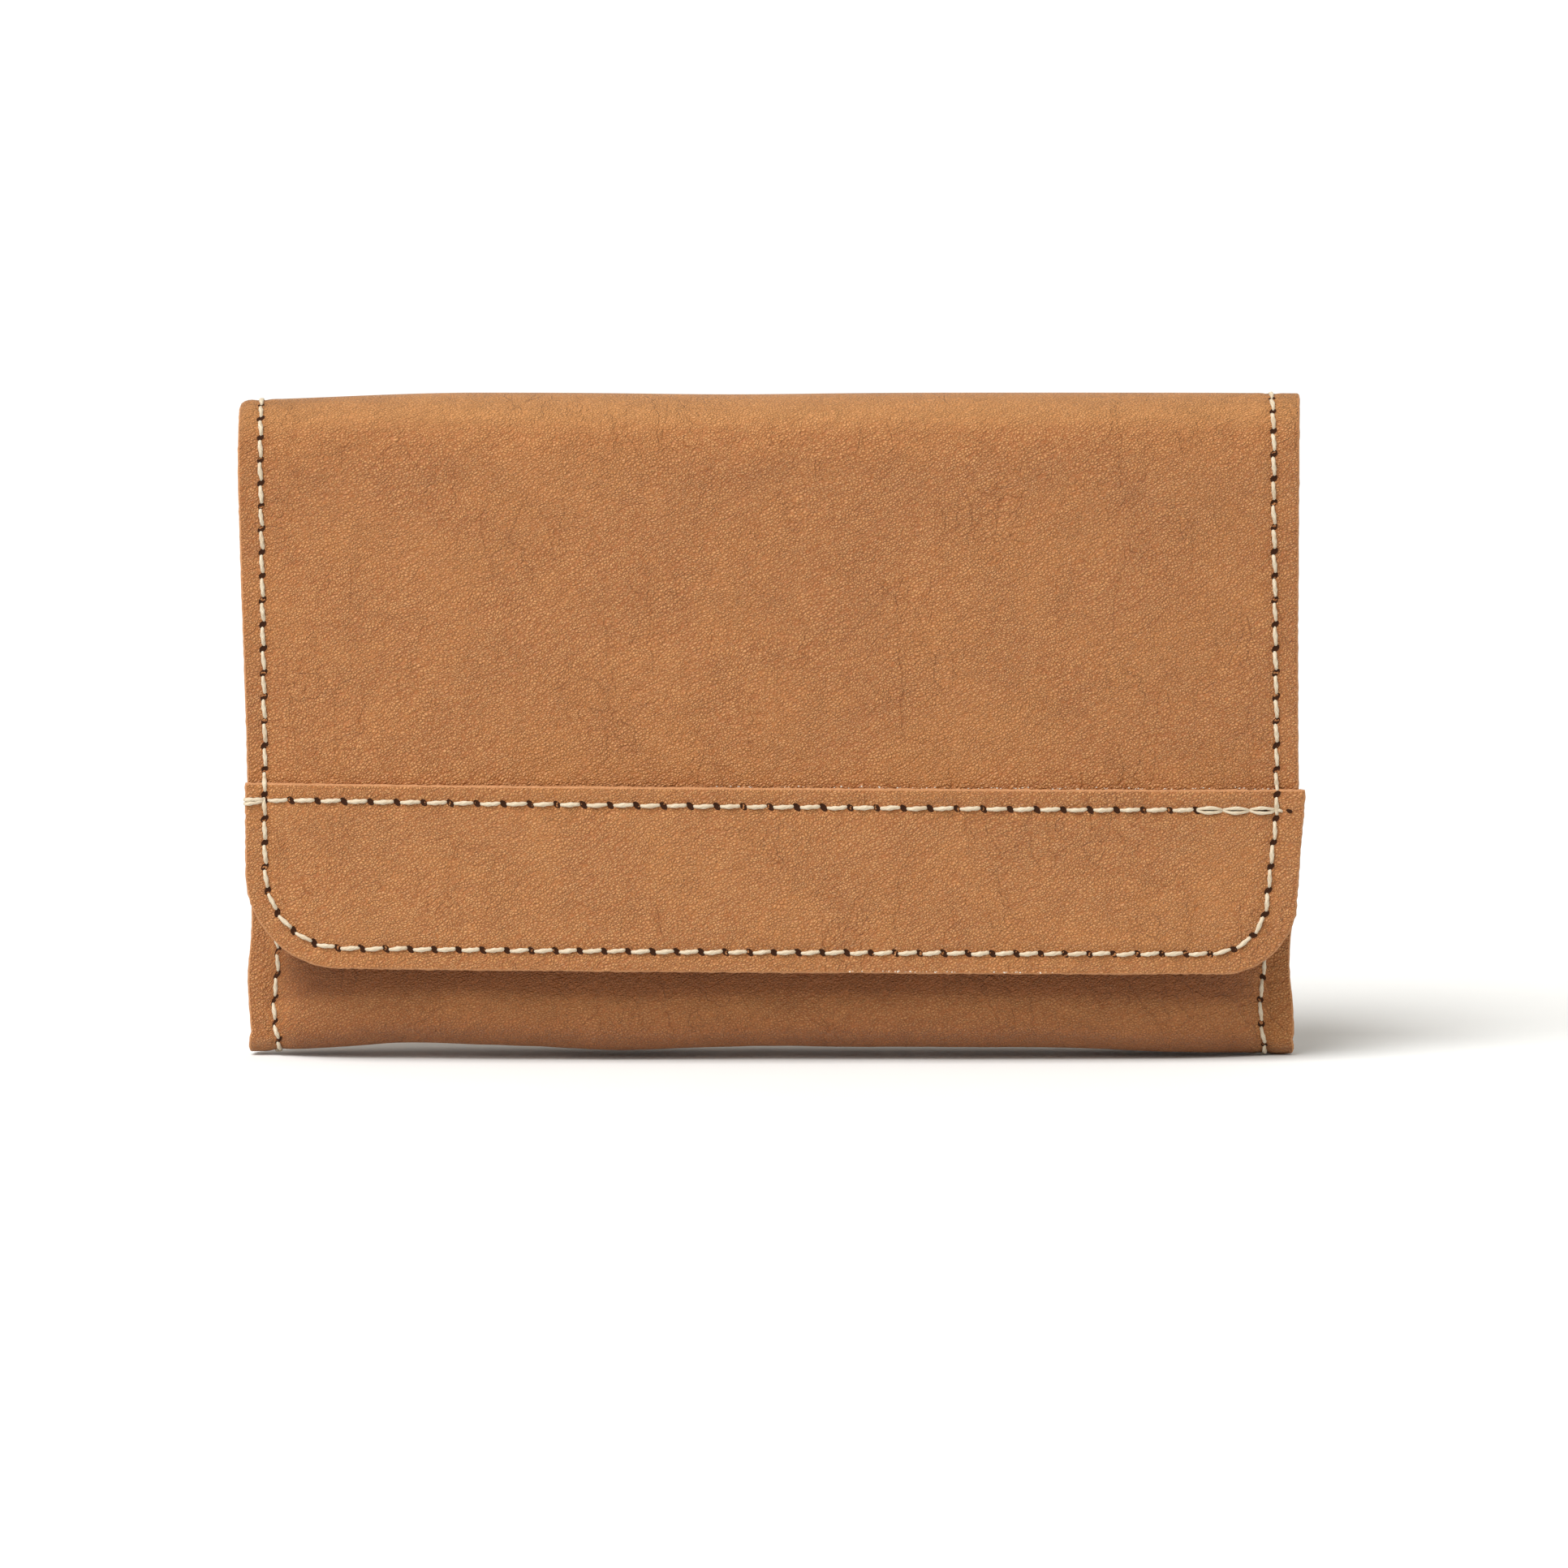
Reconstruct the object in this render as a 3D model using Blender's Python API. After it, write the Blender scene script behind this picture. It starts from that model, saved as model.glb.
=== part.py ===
"""Long wallet with a fold-over flap, built as the separate pieces that it is sewn from.

Units are metres and +Z is up. The wallet stands on its bottom fold: the front faces -Y, the width
runs along X, and the origin is the middle of the flat base. Every leather piece is a sheet laid out
flat as an outline, cut into a grid and then bent to its place by a function, so that neighbouring
sheets keep the same shape and a constant gap.
"""

import math

import bmesh
import bpy
from mathutils import Vector

# Leather and gaps
GAP = 0.0003
LEATHER = 0.0012
LINING = 0.0008
SLOT = 0.0005
ROOM = 0.0047
SLOT_ROWS = 3

# Widths, as half widths
BODY_HALF = 0.0940
INNER_HALF = 0.0936
PANEL_HALF = 0.0946
BAND_HALF = 0.0952
SWELL_EDGE = 0.0917
SEAM_X = 0.0922

# Heights
MOUTH_Z = 0.0920
ARCH_Z = 0.1065
ARCH_RISE = 0.0120
POCKET_FLOOR_Z = 0.0140
POCKET_MOUTH_Z = 0.0880
FLAP_END_Z = 0.0150
BAND_TOP_Z = 0.0472
BAND_SEAM_Z = 0.0440
PANEL_END_Z = 0.0400
FLAP_CORNER = 0.0150
BOTTOM_RADIUS = 0.0025

# How the layers stand apart: pinched at the side seams, slimmer towards the base and the top fold
SEAM_HALF = (2 * LEATHER + 3 * LINING + 4 * GAP) / 2
FULL_HALF = (2 * LEATHER + 3 * LINING + GAP + SLOT_ROWS * (SLOT + GAP) + 3 * ROOM) / 2
BASE_TAPER = 0.10
BASE_TAPER_TOP = 0.022
TOP_TAPER = 0.10
TOP_TAPER_FROM = 0.070

# Outer faces of the flap's sheets, counted forward from the outer face of the front wall
FLAP_GAP = 0.0011
LINING_OUT = FLAP_GAP + LINING
PANEL_OUT = LINING_OUT + GAP + LEATHER
BAND_OUT = PANEL_OUT + GAP + LEATHER
LINING_STEP = 0.0008
LINING_STEP_Z = 0.0395
LINING_STEP_RUN = 0.0040
LINING_INSET = 0.0005
FLAP_STANDOFF = 0.0004
STANDOFF_FROM = 0.038
STANDOFF_RUN = 0.030
FLAP_BOW = 0.40

# The top fold is an arch over the body's back wall and the flap's panel
ARCH_Y = -PANEL_OUT / 2
PIVOT_CLEARANCE = 0.0002
ARCH_ROWS = (0.33, 0.66)

# Grid lines of the leather sheets
COLUMNS = (0.0, 0.014, 0.028, 0.042, 0.054, 0.064, 0.072, 0.0785, 0.0835, 0.0875, 0.090, SWELL_EDGE)
ROWS = (
    0.022,
    0.030,
    LINING_STEP_Z - LINING_STEP_RUN,
    LINING_STEP_Z,
    0.048,
    0.058,
    0.070,
    0.082,
    0.094,
    ARCH_Z,
)
CREST_ROWS = (0.17, 0.33, 0.5, 0.67, 0.83)
SLOT_GRID = (0.022, 0.030, 0.048, 0.058, 0.070, 0.082)
BASE_STATIONS = (0.35, 0.57, 0.78, 1.0)
WALL_STATIONS = (1.09, 1.2, 1.4, 1.6, 1.8)

# Card slots
SLOT_INNER_X = 0.0012
SLOT_OUTER_X = 0.0880
SLOT_TOPS = (0.090, 0.078, 0.066)
SLOT_BOTTOMS = (0.036, 0.024, 0.015)

# Zip across the coin pocket's mouth
ZIP_Y = -0.00166
ZIP_HALF = 0.0720
TAPE_THICK = 0.0005
TAPE_Z = POCKET_MOUTH_Z + GAP
CHAIN_WIDTH = 0.0013
CHAIN_HEIGHT = 0.0017
CHAIN_Z = TAPE_Z - 0.0006
CHAIN_TOP_Z = CHAIN_Z + CHAIN_HEIGHT
TEETH_PITCH = 0.0040
TOOTH_SHARE = (0.15, 0.85)
STOP_LENGTH = 0.0021
STOP_HALF = 0.0011
STOP_HEIGHT = 0.0009
SMALL_BEVEL = 0.0002

# Slider, the crown on it and the puller that turns in the crown
SLIDER_X = 0.0620
SLIDER_LENGTH = 0.0090
SLIDER_WIDTH = 0.0047
SLIDER_WALL = 0.0008
SLIDER_BASE_WIDTH = 0.0029
SLIDER_LOW_Z = TAPE_Z + TAPE_THICK + GAP
SLIDER_ROOF_Z = CHAIN_TOP_Z + GAP
SLIDER_TOP_Z = SLIDER_ROOF_Z + 0.0012
CROWN_HALF = 0.0022
CROWN_HOLE = 0.0012
CROWN_DEPTH = 0.0012
CROWN_ROOF = 0.0007
CROWN_CORNER = 0.0007
CROWN_OVERLAP = 0.0004
CROWN_TOP_Z = SLIDER_TOP_Z + 0.0025
PULLER_Z = SLIDER_TOP_Z + 0.0009
PULLER_LENGTH = 0.0200
PULLER_WIDTH = 0.0040
PULLER_THICK = 0.0008
PULLER_ARM = 0.0008
PULLER_CLEARANCE = 0.0006
ARM_OVERLAP = 0.0005
BAR_HALF = 0.0004
BAR_HALF_HEIGHT = 0.00036

# Magnetic snap
SNAP_Z = 0.0280
SOCKET_RADIUS = 0.0065
SOCKET_HOLE = 0.0026
SOCKET_THICK = 0.0008
STUD_RADIUS = 0.0058
STUD_THICK = 0.0006
BOSS_RADIUS = 0.0021
BOSS_RECESS = 0.0002
WASHER_RADIUS = 0.0050
WASHER_THICK = 0.0004

# Thread
THREAD_RADIUS = 0.00025
THREAD_OFF = GAP + THREAD_RADIUS
THREAD_LOW_Z = 0.0040
THREAD_END = 0.0010

TAN = (0.47, 0.20, 0.085)
TAN_LIGHT = (0.49, 0.215, 0.095)
SUEDE = (0.40, 0.19, 0.09)
INNER_TAN = (0.43, 0.20, 0.095)
CREAM = (0.80, 0.72, 0.58)
TAPE_BROWN = (0.16, 0.085, 0.045)
BRASS = (0.72, 0.52, 0.25)
NICKEL = (0.62, 0.60, 0.57)


def smooth(t):
    """Smoothstep, held at 0 and 1 outside its run."""
    t = min(1.0, max(0.0, t))
    return t * t * (3 - 2 * t)


def slimming(z):
    """How much of its full depth the wallet keeps towards the top fold."""
    return 1 - TOP_TAPER * smooth((z - TOP_TAPER_FROM) / (ARCH_Z - TOP_TAPER_FROM))


def swell(x, z):
    """0 where the side seams pinch the layers together, 1 where they stand fully apart."""
    across = max(0.0, 1 - (abs(x) / SWELL_EDGE) ** 5) ** 0.6
    low = 1 - BASE_TAPER * (1 - smooth(z / BASE_TAPER_TOP))
    return across * low * slimming(z)


def body_half(x, z):
    """Half the depth of the closed body, outside its front and back walls."""
    return SEAM_HALF + (FULL_HALF - SEAM_HALF) * swell(x, z)


def flap_half(x, z):
    """How far forward the flap hangs. It isn't sewn to the body, so it only bows back at its sides."""
    across = 1 - FLAP_BOW * (abs(x) / PANEL_HALF) ** 3
    return SEAM_HALF + (FULL_HALF - SEAM_HALF) * across * slimming(z)


def lining_front(x, z):
    """Front face of the lining that backs the card slots."""
    return body_half(x, z) - LEATHER - GAP - LINING


def pocket_rear(x, z):
    """Rear face of the coin pocket."""
    seam_y = SEAM_HALF - LEATHER - 2 * GAP - LINING
    full_y = FULL_HALF - LEATHER - GAP - LINING - SLOT_ROWS * (SLOT + GAP) - ROOM
    return seam_y + (full_y - seam_y) * swell(x, z)


def pocket_front(x, z):
    """Front face of the coin pocket."""
    seam_y = LEATHER + GAP - SEAM_HALF
    full_y = LEATHER + ROOM - FULL_HALF
    return seam_y + (full_y - seam_y) * swell(x, z)


def standoff(z):
    """How far the flap's lower part stands off the body."""
    return FLAP_STANDOFF * (1 - smooth((z - STANDOFF_FROM) / STANDOFF_RUN))


def flap_front(x, z, out):
    """How far in front of y = 0 a face of the flap lies, `out` being its height over the front wall."""
    return flap_half(x, z) + standoff(z) + out


# The fold turns about two lines, one on each shoulder of the arch where it is widest.
ARCH_HALF = body_half(0, ARCH_Z) - ARCH_Y
SHOULDER = math.hypot(ARCH_HALF, ARCH_RISE) / math.sqrt(2)
PIVOT_OFFSET_Y = ARCH_HALF**2 / math.sqrt(2) / SHOULDER + PIVOT_CLEARANCE
PIVOT_Z = ARCH_Z + ARCH_RISE**2 / math.sqrt(2) / SHOULDER + PIVOT_CLEARANCE
REAR, FRONT = 1, -1


def arch_span(x):
    """Middle and half of the arch's outer span from the back wall to the flap's panel."""
    rear = body_half(x, ARCH_Z)
    front = flap_half(x, ARCH_Z) + PANEL_OUT
    return (rear - front) / 2, (rear + front) / 2


def arch_point(x, angle, depth):
    """A point of the top fold: angle 0 is on the back wall and pi on the flap."""
    middle, half = arch_span(x)
    y = middle + (half - depth) * math.cos(angle)
    return Vector((x, y, ARCH_Z + (ARCH_RISE - depth) * math.sin(angle)))


def shoulder_angle(x, depth, beyond, side):
    """The angle up from one foot of the arch to `beyond` past the slanted plane at its pivot line."""
    middle, half = arch_span(x)
    across = half - depth
    rise = ARCH_RISE - depth
    pivot_y = ARCH_Y + side * PIVOT_OFFSET_Y
    wanted = beyond * math.sqrt(2) + side * (middle - pivot_y) + (PIVOT_Z - ARCH_Z)
    return math.atan2(across, rise) + math.asin(wanted / math.hypot(across, rise))


def folded_sheet(front, rear, floor, front_top, rear_top, arch_depth=None):
    """A sheet folded up from a flat floor.

    Stations -2 to -1 are the front wall, -1 to 1 the bottom fold, 1 to 2 the rear wall, and 2 to 3
    the rear shoulder of the top fold where arch_depth is given.
    """

    def place(x, station, depth):
        side = -1 if station < 0 else 1
        wall = front if station < 0 else rear
        low = floor + BOTTOM_RADIUS
        middle = (rear(x, low) + front(x, low)) / 2
        half = (rear(x, low) - front(x, low)) / 2
        radius = min(BOTTOM_RADIUS, half)
        along = abs(station)
        if along <= BASE_STATIONS[0]:
            flat = (half - radius) * along / BASE_STATIONS[0]
            return Vector((x, middle + side * flat, floor + depth))
        if along <= 1:
            turn = math.pi / 2 * (along - BASE_STATIONS[0]) / (1 - BASE_STATIONS[0])
            out = half - radius + (radius - depth) * math.sin(turn)
            return Vector((x, middle + side * out, floor + radius - (radius - depth) * math.cos(turn)))
        if along <= 2:
            top = front_top if side < 0 else rear_top
            z = floor + radius + (along - 1) * (top - floor - radius)
            return Vector((x, wall(x, z) - side * depth, z))
        angle = shoulder_angle(x, arch_depth + depth, -GAP / 2, REAR) * (along - 2)
        return arch_point(x, angle, arch_depth + depth)

    return place


def flap_sheet(out, step=0.0):
    """A sheet of the flap. Up to ARCH_Z a station is a height, and from there to ARCH_Z + 1 the arch.

    `out` is how far the outer face lies in front of the front wall, and `step` how much further
    forward it lies below the end of the panel.
    """

    def place(x, station, depth):
        if station > ARCH_Z:
            inner = PANEL_OUT - out + depth
            angle = shoulder_angle(x, inner, -GAP / 2, FRONT) * (station - ARCH_Z)
            return arch_point(x, math.pi - angle, inner)
        drop = step * smooth((LINING_STEP_Z - station) / LINING_STEP_RUN)
        return Vector((x, depth - drop - flap_front(x, station, out), station))

    return place


def crest_sheet(inner):
    """A sheet of the top fold between the two pivot lines, with station 0 at the rear."""

    def place(x, station, depth):
        start = shoulder_angle(x, inner + depth, GAP / 2, REAR)
        end = math.pi - shoulder_angle(x, inner + depth, GAP / 2, FRONT)
        return arch_point(x, start + (end - start) * station, inner + depth)

    return place


def lining_sheet(x, z, depth):
    return Vector((x, lining_front(x, z) + depth, z))


def material(name, colour, roughness, metallic=0.0):
    """A Principled material in one plain colour."""
    found = bpy.data.materials.new(name)
    found.use_nodes = True
    shader = found.node_tree.nodes["Principled BSDF"]
    shader.inputs["Base Color"].default_value = (*colour, 1)
    shader.inputs["Roughness"].default_value = roughness
    shader.inputs["Metallic"].default_value = metallic
    return found


def add_object(name, mesh_or_curve, finish, parent):
    """Links new data to the scene under its body's empty, which keeps the world position."""
    obj = bpy.data.objects.new(name, mesh_or_curve)
    bpy.context.scene.collection.objects.link(obj)
    obj.data.materials.append(finish)
    obj.parent = parent
    obj.matrix_parent_inverse = parent.matrix_world.inverted()
    return obj


def mesh_object(name, bm, finish, parent, sharp_angle=40):
    """Turns a bmesh in world coordinates into a smooth-shaded object whose faces point out."""
    bmesh.ops.recalc_face_normals(bm, faces=bm.faces)
    if bm.calc_volume(signed=True) < 0:
        bmesh.ops.reverse_faces(bm, faces=bm.faces)
    mesh = bpy.data.meshes.new(name)
    bm.to_mesh(mesh)
    bm.free()
    mesh.shade_smooth()
    mesh.set_sharp_from_angle(angle=math.radians(sharp_angle))
    return add_object(name, mesh, finish, parent)


def cut_grid(bm, columns, rows):
    """Cuts a flat outline along lines of constant first and second coordinate."""
    for value, axis in [(c, 0) for c in columns] + [(r, 1) for r in rows]:
        normal = Vector((0, 0, 0))
        normal[axis] = 1
        geometry = bm.verts[:] + bm.edges[:] + bm.faces[:]
        bmesh.ops.bisect_plane(
            bm, geom=geometry, dist=1e-7, plane_co=normal * value, plane_no=normal
        )


def sheet(name, outline, place, thickness, rows, finish, parent):
    """A sheet of even thickness: `outline` lies flat in (x, station) and `place` bends it."""
    bm = bmesh.new()
    bm.faces.new([bm.verts.new((x, station, 0)) for x, station in outline])
    columns = sorted({side * x for x in COLUMNS for side in (-1, 1)})
    cut_grid(bm, columns, rows)
    extruded = bmesh.ops.extrude_face_region(bm, geom=bm.faces[:])
    for item in extruded["geom"]:
        if isinstance(item, bmesh.types.BMVert):
            item.co.z = 1
    for vert in bm.verts:
        vert.co = place(vert.co.x, vert.co.y, thickness * vert.co.z)
    return mesh_object(name, bm, finish, parent)


def rectangle(left, right, low, high):
    return [(left, low), (right, low), (right, high), (left, high)]


def rounded_end(half, low, high, radius, steps=6):
    """A strip whose lower corners are rounded."""
    points = [(half, high), (-half, high)]
    for side, start in ((-1, 180), (1, 270)):
        for i in range(steps + 1):
            turn = math.radians(start + 90 * i / steps)
            centre = side * (half - radius)
            points.append((centre + radius * math.cos(turn), low + radius + radius * math.sin(turn)))
    return points


def box(name, low, high, finish, parent, bevel=0.0):
    """A block between two corners, with its edges rounded where bevel is given."""
    bm = bmesh.new()
    bmesh.ops.create_cube(bm, size=1)
    for vert in bm.verts:
        vert.co = Vector([high[i] if vert.co[i] > 0 else low[i] for i in range(3)])
    if bevel:
        bmesh.ops.bevel(bm, geom=bm.edges[:], offset=bevel, segments=2, affect="EDGES", profile=0.5)
    return mesh_object(name, bm, finish, parent)


def turned(name, profile, centre, finish, parent, sides=24):
    """A turned piece about an axis along Y. The profile is a closed list of (radius, y)."""
    bm = bmesh.new()
    verts = [bm.verts.new((radius, y, 0)) for radius, y in profile]
    closed = profile[0][0] > 0 and profile[-1][0] > 0
    pairs = list(zip(verts, verts[1:]))
    edges = [bm.edges.new(pair) for pair in pairs + ([(verts[-1], verts[0])] if closed else [])]
    bmesh.ops.spin(
        bm,
        geom=verts + edges,
        cent=(0, 0, 0),
        axis=(0, 1, 0),
        angle=2 * math.pi,
        steps=sides,
        use_merge=True,
    )
    bmesh.ops.remove_doubles(bm, verts=bm.verts, dist=1e-6)
    bmesh.ops.translate(bm, verts=bm.verts, vec=centre)
    return mesh_object(name, bm, finish, parent)


def thread(name, points, finish, parent):
    """A sewing thread laid along a line of points."""
    curve = bpy.data.curves.new(name, "CURVE")
    curve.dimensions = "3D"
    curve.bevel_depth = THREAD_RADIUS
    curve.bevel_resolution = 1
    curve.use_fill_caps = True
    spline = curve.splines.new("POLY")
    spline.points.add(len(points) - 1)
    for target, point in zip(spline.points, points):
        target.co = (*point, 1)
    return add_object(name, curve, finish, parent)


def spread(start, end, count):
    """Evenly spaced values from start to end."""
    return [start + (end - start) * i / (count - 1) for i in range(count)]


def empty(name, location, parent=None):
    """The origin of a moving body, on its joint's axis."""
    obj = bpy.data.objects.new(name, None)
    bpy.context.scene.collection.objects.link(obj)
    obj.location = location
    if parent:
        obj.parent = parent
        obj.matrix_parent_inverse = parent.matrix_world.inverted()
    bpy.context.view_layer.update()
    return obj


def make_shell(parent, finishes):
    """Front wall, bottom fold, back wall and rear shoulder of the top fold, in one piece of leather."""
    place = folded_sheet(
        lambda x, z: -body_half(x, z), body_half, 0.0, MOUTH_Z, ARCH_Z, arch_depth=0.0
    )
    rows = [side * s for s in BASE_STATIONS + WALL_STATIONS for side in (-1, 1)]
    rows += [0.0, 2.0] + [2 + a for a in ARCH_ROWS]
    outline = rectangle(-BODY_HALF, BODY_HALF, -2, 3)
    sheet("outer_shell", outline, place, LEATHER, rows, finishes["tan"], parent)


def make_back_lining(parent, finishes):
    """Lining of the back wall, which turns forward with it at the top fold."""

    def place(x, station, depth):
        inner = LEATHER + GAP
        if station <= ARCH_Z:
            return Vector((x, body_half(x, station) - inner - depth, station))
        angle = shoulder_angle(x, inner + depth, -GAP / 2, REAR) * (station - ARCH_Z)
        return arch_point(x, angle, inner + depth)

    outline = rectangle(-INNER_HALF, INNER_HALF, POCKET_FLOOR_Z, ARCH_Z + 1)
    rows = ROWS + tuple(ARCH_Z + a for a in ARCH_ROWS)
    sheet("back_lining", outline, place, LINING, rows, finishes["lining"], parent)


def make_card_slots(parent, finishes):
    """Two columns of overlapping slots on the lining, each lower one in front of the last."""
    for side, side_name in ((-1, "left"), (1, "right")):
        for row in range(SLOT_ROWS):
            forward = row * (SLOT + GAP) + GAP + SLOT

            def place(x, z, depth, forward=forward):
                return Vector((x, lining_front(x, z) - forward + depth, z))

            ends = sorted((side * SLOT_INNER_X, side * SLOT_OUTER_X))
            outline = rectangle(ends[0], ends[1], SLOT_BOTTOMS[row], SLOT_TOPS[row])
            name = f"card_slot_{side_name}_{row + 1}"
            sheet(name, outline, place, SLOT, SLOT_GRID, finishes["slot"], parent)


def make_coin_pocket(parent, finishes):
    """Coin pocket folded from one piece of lining leather, held by the side seams."""
    place = folded_sheet(
        pocket_front, pocket_rear, POCKET_FLOOR_Z, POCKET_MOUTH_Z, POCKET_MOUTH_Z
    )
    rows = [side * s for s in BASE_STATIONS + WALL_STATIONS for side in (-1, 1)] + [0.0]
    outline = rectangle(-INNER_HALF, INNER_HALF, -2, 2)
    sheet("coin_pocket", outline, place, LINING, rows, finishes["lining"], parent)


def make_zip(parent, finishes):
    """Two tapes sewn to the pocket's walls, the closed chain between them, and its end stops."""
    slot_half = CHAIN_WIDTH / 2 + GAP
    for name, wall, side in (
        ("zip_tape_front", pocket_front, -1),
        ("zip_tape_rear", pocket_rear, 1),
    ):

        def place(x, station, depth, wall=wall, side=side):
            inner = ZIP_Y + side * slot_half
            return Vector((x, inner + (wall(x, POCKET_MOUTH_Z) - inner) * station, TAPE_Z + depth))

        outline = rectangle(-ZIP_HALF, ZIP_HALF, 0, 1)
        sheet(name, outline, place, TAPE_THICK, (), finishes["tape"], parent)
    make_chain(parent, finishes)
    for name, x in (("zip_stop_open", -ZIP_HALF), ("zip_stop_closed", ZIP_HALF - STOP_LENGTH)):
        low = (x, ZIP_Y - STOP_HALF, SLIDER_LOW_Z)
        high = (x + STOP_LENGTH, ZIP_Y + STOP_HALF, SLIDER_LOW_Z + STOP_HEIGHT)
        box(name, low, high, finishes["brass"], parent, bevel=SMALL_BEVEL)


def make_chain(parent, finishes):
    """The meshed teeth as one bar, with a notch between each pair of teeth."""
    half = ZIP_HALF - STOP_LENGTH - 0.0005
    count = round(2 * half / TEETH_PITCH)
    pitch = 2 * half / count
    low, high = TOOTH_SHARE
    notch = TAPE_Z + TAPE_THICK - 0.0001
    profile = [(-half, CHAIN_Z), (half, CHAIN_Z)]
    for i in reversed(range(count)):
        start = -half + i * pitch
        for share, z in ((high, notch), (high, CHAIN_TOP_Z), (low, CHAIN_TOP_Z), (low, notch)):
            profile.append((start + share * pitch, z))
    near = ZIP_Y - CHAIN_WIDTH / 2
    extruded_outline("zip_chain", profile, near, near + CHAIN_WIDTH, finishes["brass"], parent)


def extrude_face(bm, corners, along):
    """Extrudes the face through these corners into a closed prism."""
    face = bm.faces.new([bm.verts.new(corner) for corner in corners])
    extruded = bmesh.ops.extrude_face_region(bm, geom=[face])
    moved = [item for item in extruded["geom"] if isinstance(item, bmesh.types.BMVert)]
    bmesh.ops.translate(bm, verts=moved, vec=along)


def extruded_outline(name, points, low_y, high_y, finish, parent):
    """An outline in the XZ plane, extruded along Y."""
    bm = bmesh.new()
    extrude_face(bm, [(x, low_y, z) for x, z in points], (0, high_y - low_y, 0))
    return mesh_object(name, bm, finish, parent)


def join(target, *others):
    """Boolean union of solids that overlap each other, applied by modifiers on the target."""
    for other in others:
        other.hide_render = True
        other.display_type = "WIRE"
        union = target.modifiers.new(f"join_{other.name}", "BOOLEAN")
        union.operation = "UNION"
        union.object = other


def crown_outline():
    """The staple that holds the puller, seen from the front."""
    foot = SLIDER_TOP_Z - CROWN_OVERLAP
    under = CROWN_TOP_Z - CROWN_ROOF
    half = [
        (CROWN_HOLE, under),
        (CROWN_HOLE, foot),
        (CROWN_HALF, foot),
        (CROWN_HALF, CROWN_TOP_Z - CROWN_CORNER),
        (CROWN_HALF - CROWN_CORNER, CROWN_TOP_Z),
    ]
    outline = half + [(-x, z) for x, z in reversed(half)]
    return [(SLIDER_X + x, z) for x, z in outline]


def make_slider(parent, finishes):
    """The slider's upper shell with the crown that holds the puller, and its lower plate."""
    half = SLIDER_WIDTH / 2
    right = [
        (half - SLIDER_WALL, SLIDER_ROOF_Z),
        (half - SLIDER_WALL, SLIDER_LOW_Z),
        (half, SLIDER_LOW_Z),
        (half, SLIDER_TOP_Z),
    ]
    section = right + [(-y, z) for y, z in reversed(right)]
    start = SLIDER_X - SLIDER_LENGTH / 2
    bm = bmesh.new()
    extrude_face(bm, [(start, ZIP_Y + y, z) for y, z in section], (SLIDER_LENGTH, 0, 0))
    shell = mesh_object("zip_slider", bm, finishes["brass"], parent)
    near = ZIP_Y - CROWN_DEPTH / 2
    crown = extruded_outline(
        "crown_body", crown_outline(), near, near + CROWN_DEPTH, finishes["brass"], parent
    )
    join(shell, crown)
    low = (start, ZIP_Y - SLIDER_BASE_WIDTH / 2, CHAIN_Z - GAP - SLIDER_WALL)
    high = (start + SLIDER_LENGTH, ZIP_Y + SLIDER_BASE_WIDTH / 2, CHAIN_Z - GAP)
    box("zip_slider_base", low, high, finishes["brass"], parent, bevel=SMALL_BEVEL)


def make_puller(parent, finishes):
    """A flat tab with an eye, whose cross bar runs under the slider's crown."""
    near = SLIDER_X - CROWN_HALF - PULLER_CLEARANCE
    far = SLIDER_X - PULLER_LENGTH
    half = PULLER_WIDTH / 2
    low_z = PULLER_Z - PULLER_THICK / 2
    high_z = PULLER_Z + PULLER_THICK / 2
    finish = finishes["nickel"]
    tab = box("zip_puller", (far, ZIP_Y - half, low_z), (near, ZIP_Y + half, high_z), finish, parent)
    arms = []
    for side, side_name in ((-1, "front"), (1, "rear")):
        inner, outer = sorted((side * (half - PULLER_ARM), side * half))
        low = (near - ARM_OVERLAP, ZIP_Y + inner, low_z)
        high = (SLIDER_X + BAR_HALF, ZIP_Y + outer, high_z)
        arms.append(box(f"puller_arm_{side_name}", low, high, finish, parent))
    reach = half - PULLER_ARM / 2
    low = (SLIDER_X - BAR_HALF, ZIP_Y - reach, PULLER_Z - BAR_HALF_HEIGHT)
    high = (SLIDER_X + BAR_HALF_HEIGHT, ZIP_Y + reach, PULLER_Z + BAR_HALF_HEIGHT)
    join(tab, *arms, box("puller_cross_bar", low, high, finish, parent))


def make_snap(root, flap, finishes):
    """Magnetic snap: the socket on the front wall, the stud on the flap, and their rear washers."""
    wall = -body_half(0, SNAP_Z)
    socket_back = wall - GAP
    socket_face = socket_back - SOCKET_THICK
    ring = [
        (SOCKET_HOLE, socket_back),
        (SOCKET_RADIUS, socket_back),
        (SOCKET_RADIUS, socket_face),
        (SOCKET_HOLE, socket_face),
    ]
    turned("snap_socket", ring, (0, 0, SNAP_Z), finishes["nickel"], root)
    inside = wall + LEATHER + GAP
    disc("snap_socket_washer", WASHER_RADIUS, inside, inside + WASHER_THICK, finishes["nickel"], root)
    stud_back = socket_face - GAP
    stud_face = stud_back - STUD_THICK
    stud = [
        (0, socket_back - BOSS_RECESS),
        (BOSS_RADIUS, socket_back - BOSS_RECESS),
        (BOSS_RADIUS, stud_back),
        (STUD_RADIUS, stud_back),
        (STUD_RADIUS, stud_face),
        (0, stud_face),
    ]
    turned("snap_stud", stud, (0, 0, SNAP_Z), finishes["nickel"], flap)
    rear = stud_face - GAP - LINING - GAP
    disc("snap_stud_washer", WASHER_RADIUS, rear - WASHER_THICK, rear, finishes["nickel"], flap)


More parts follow.
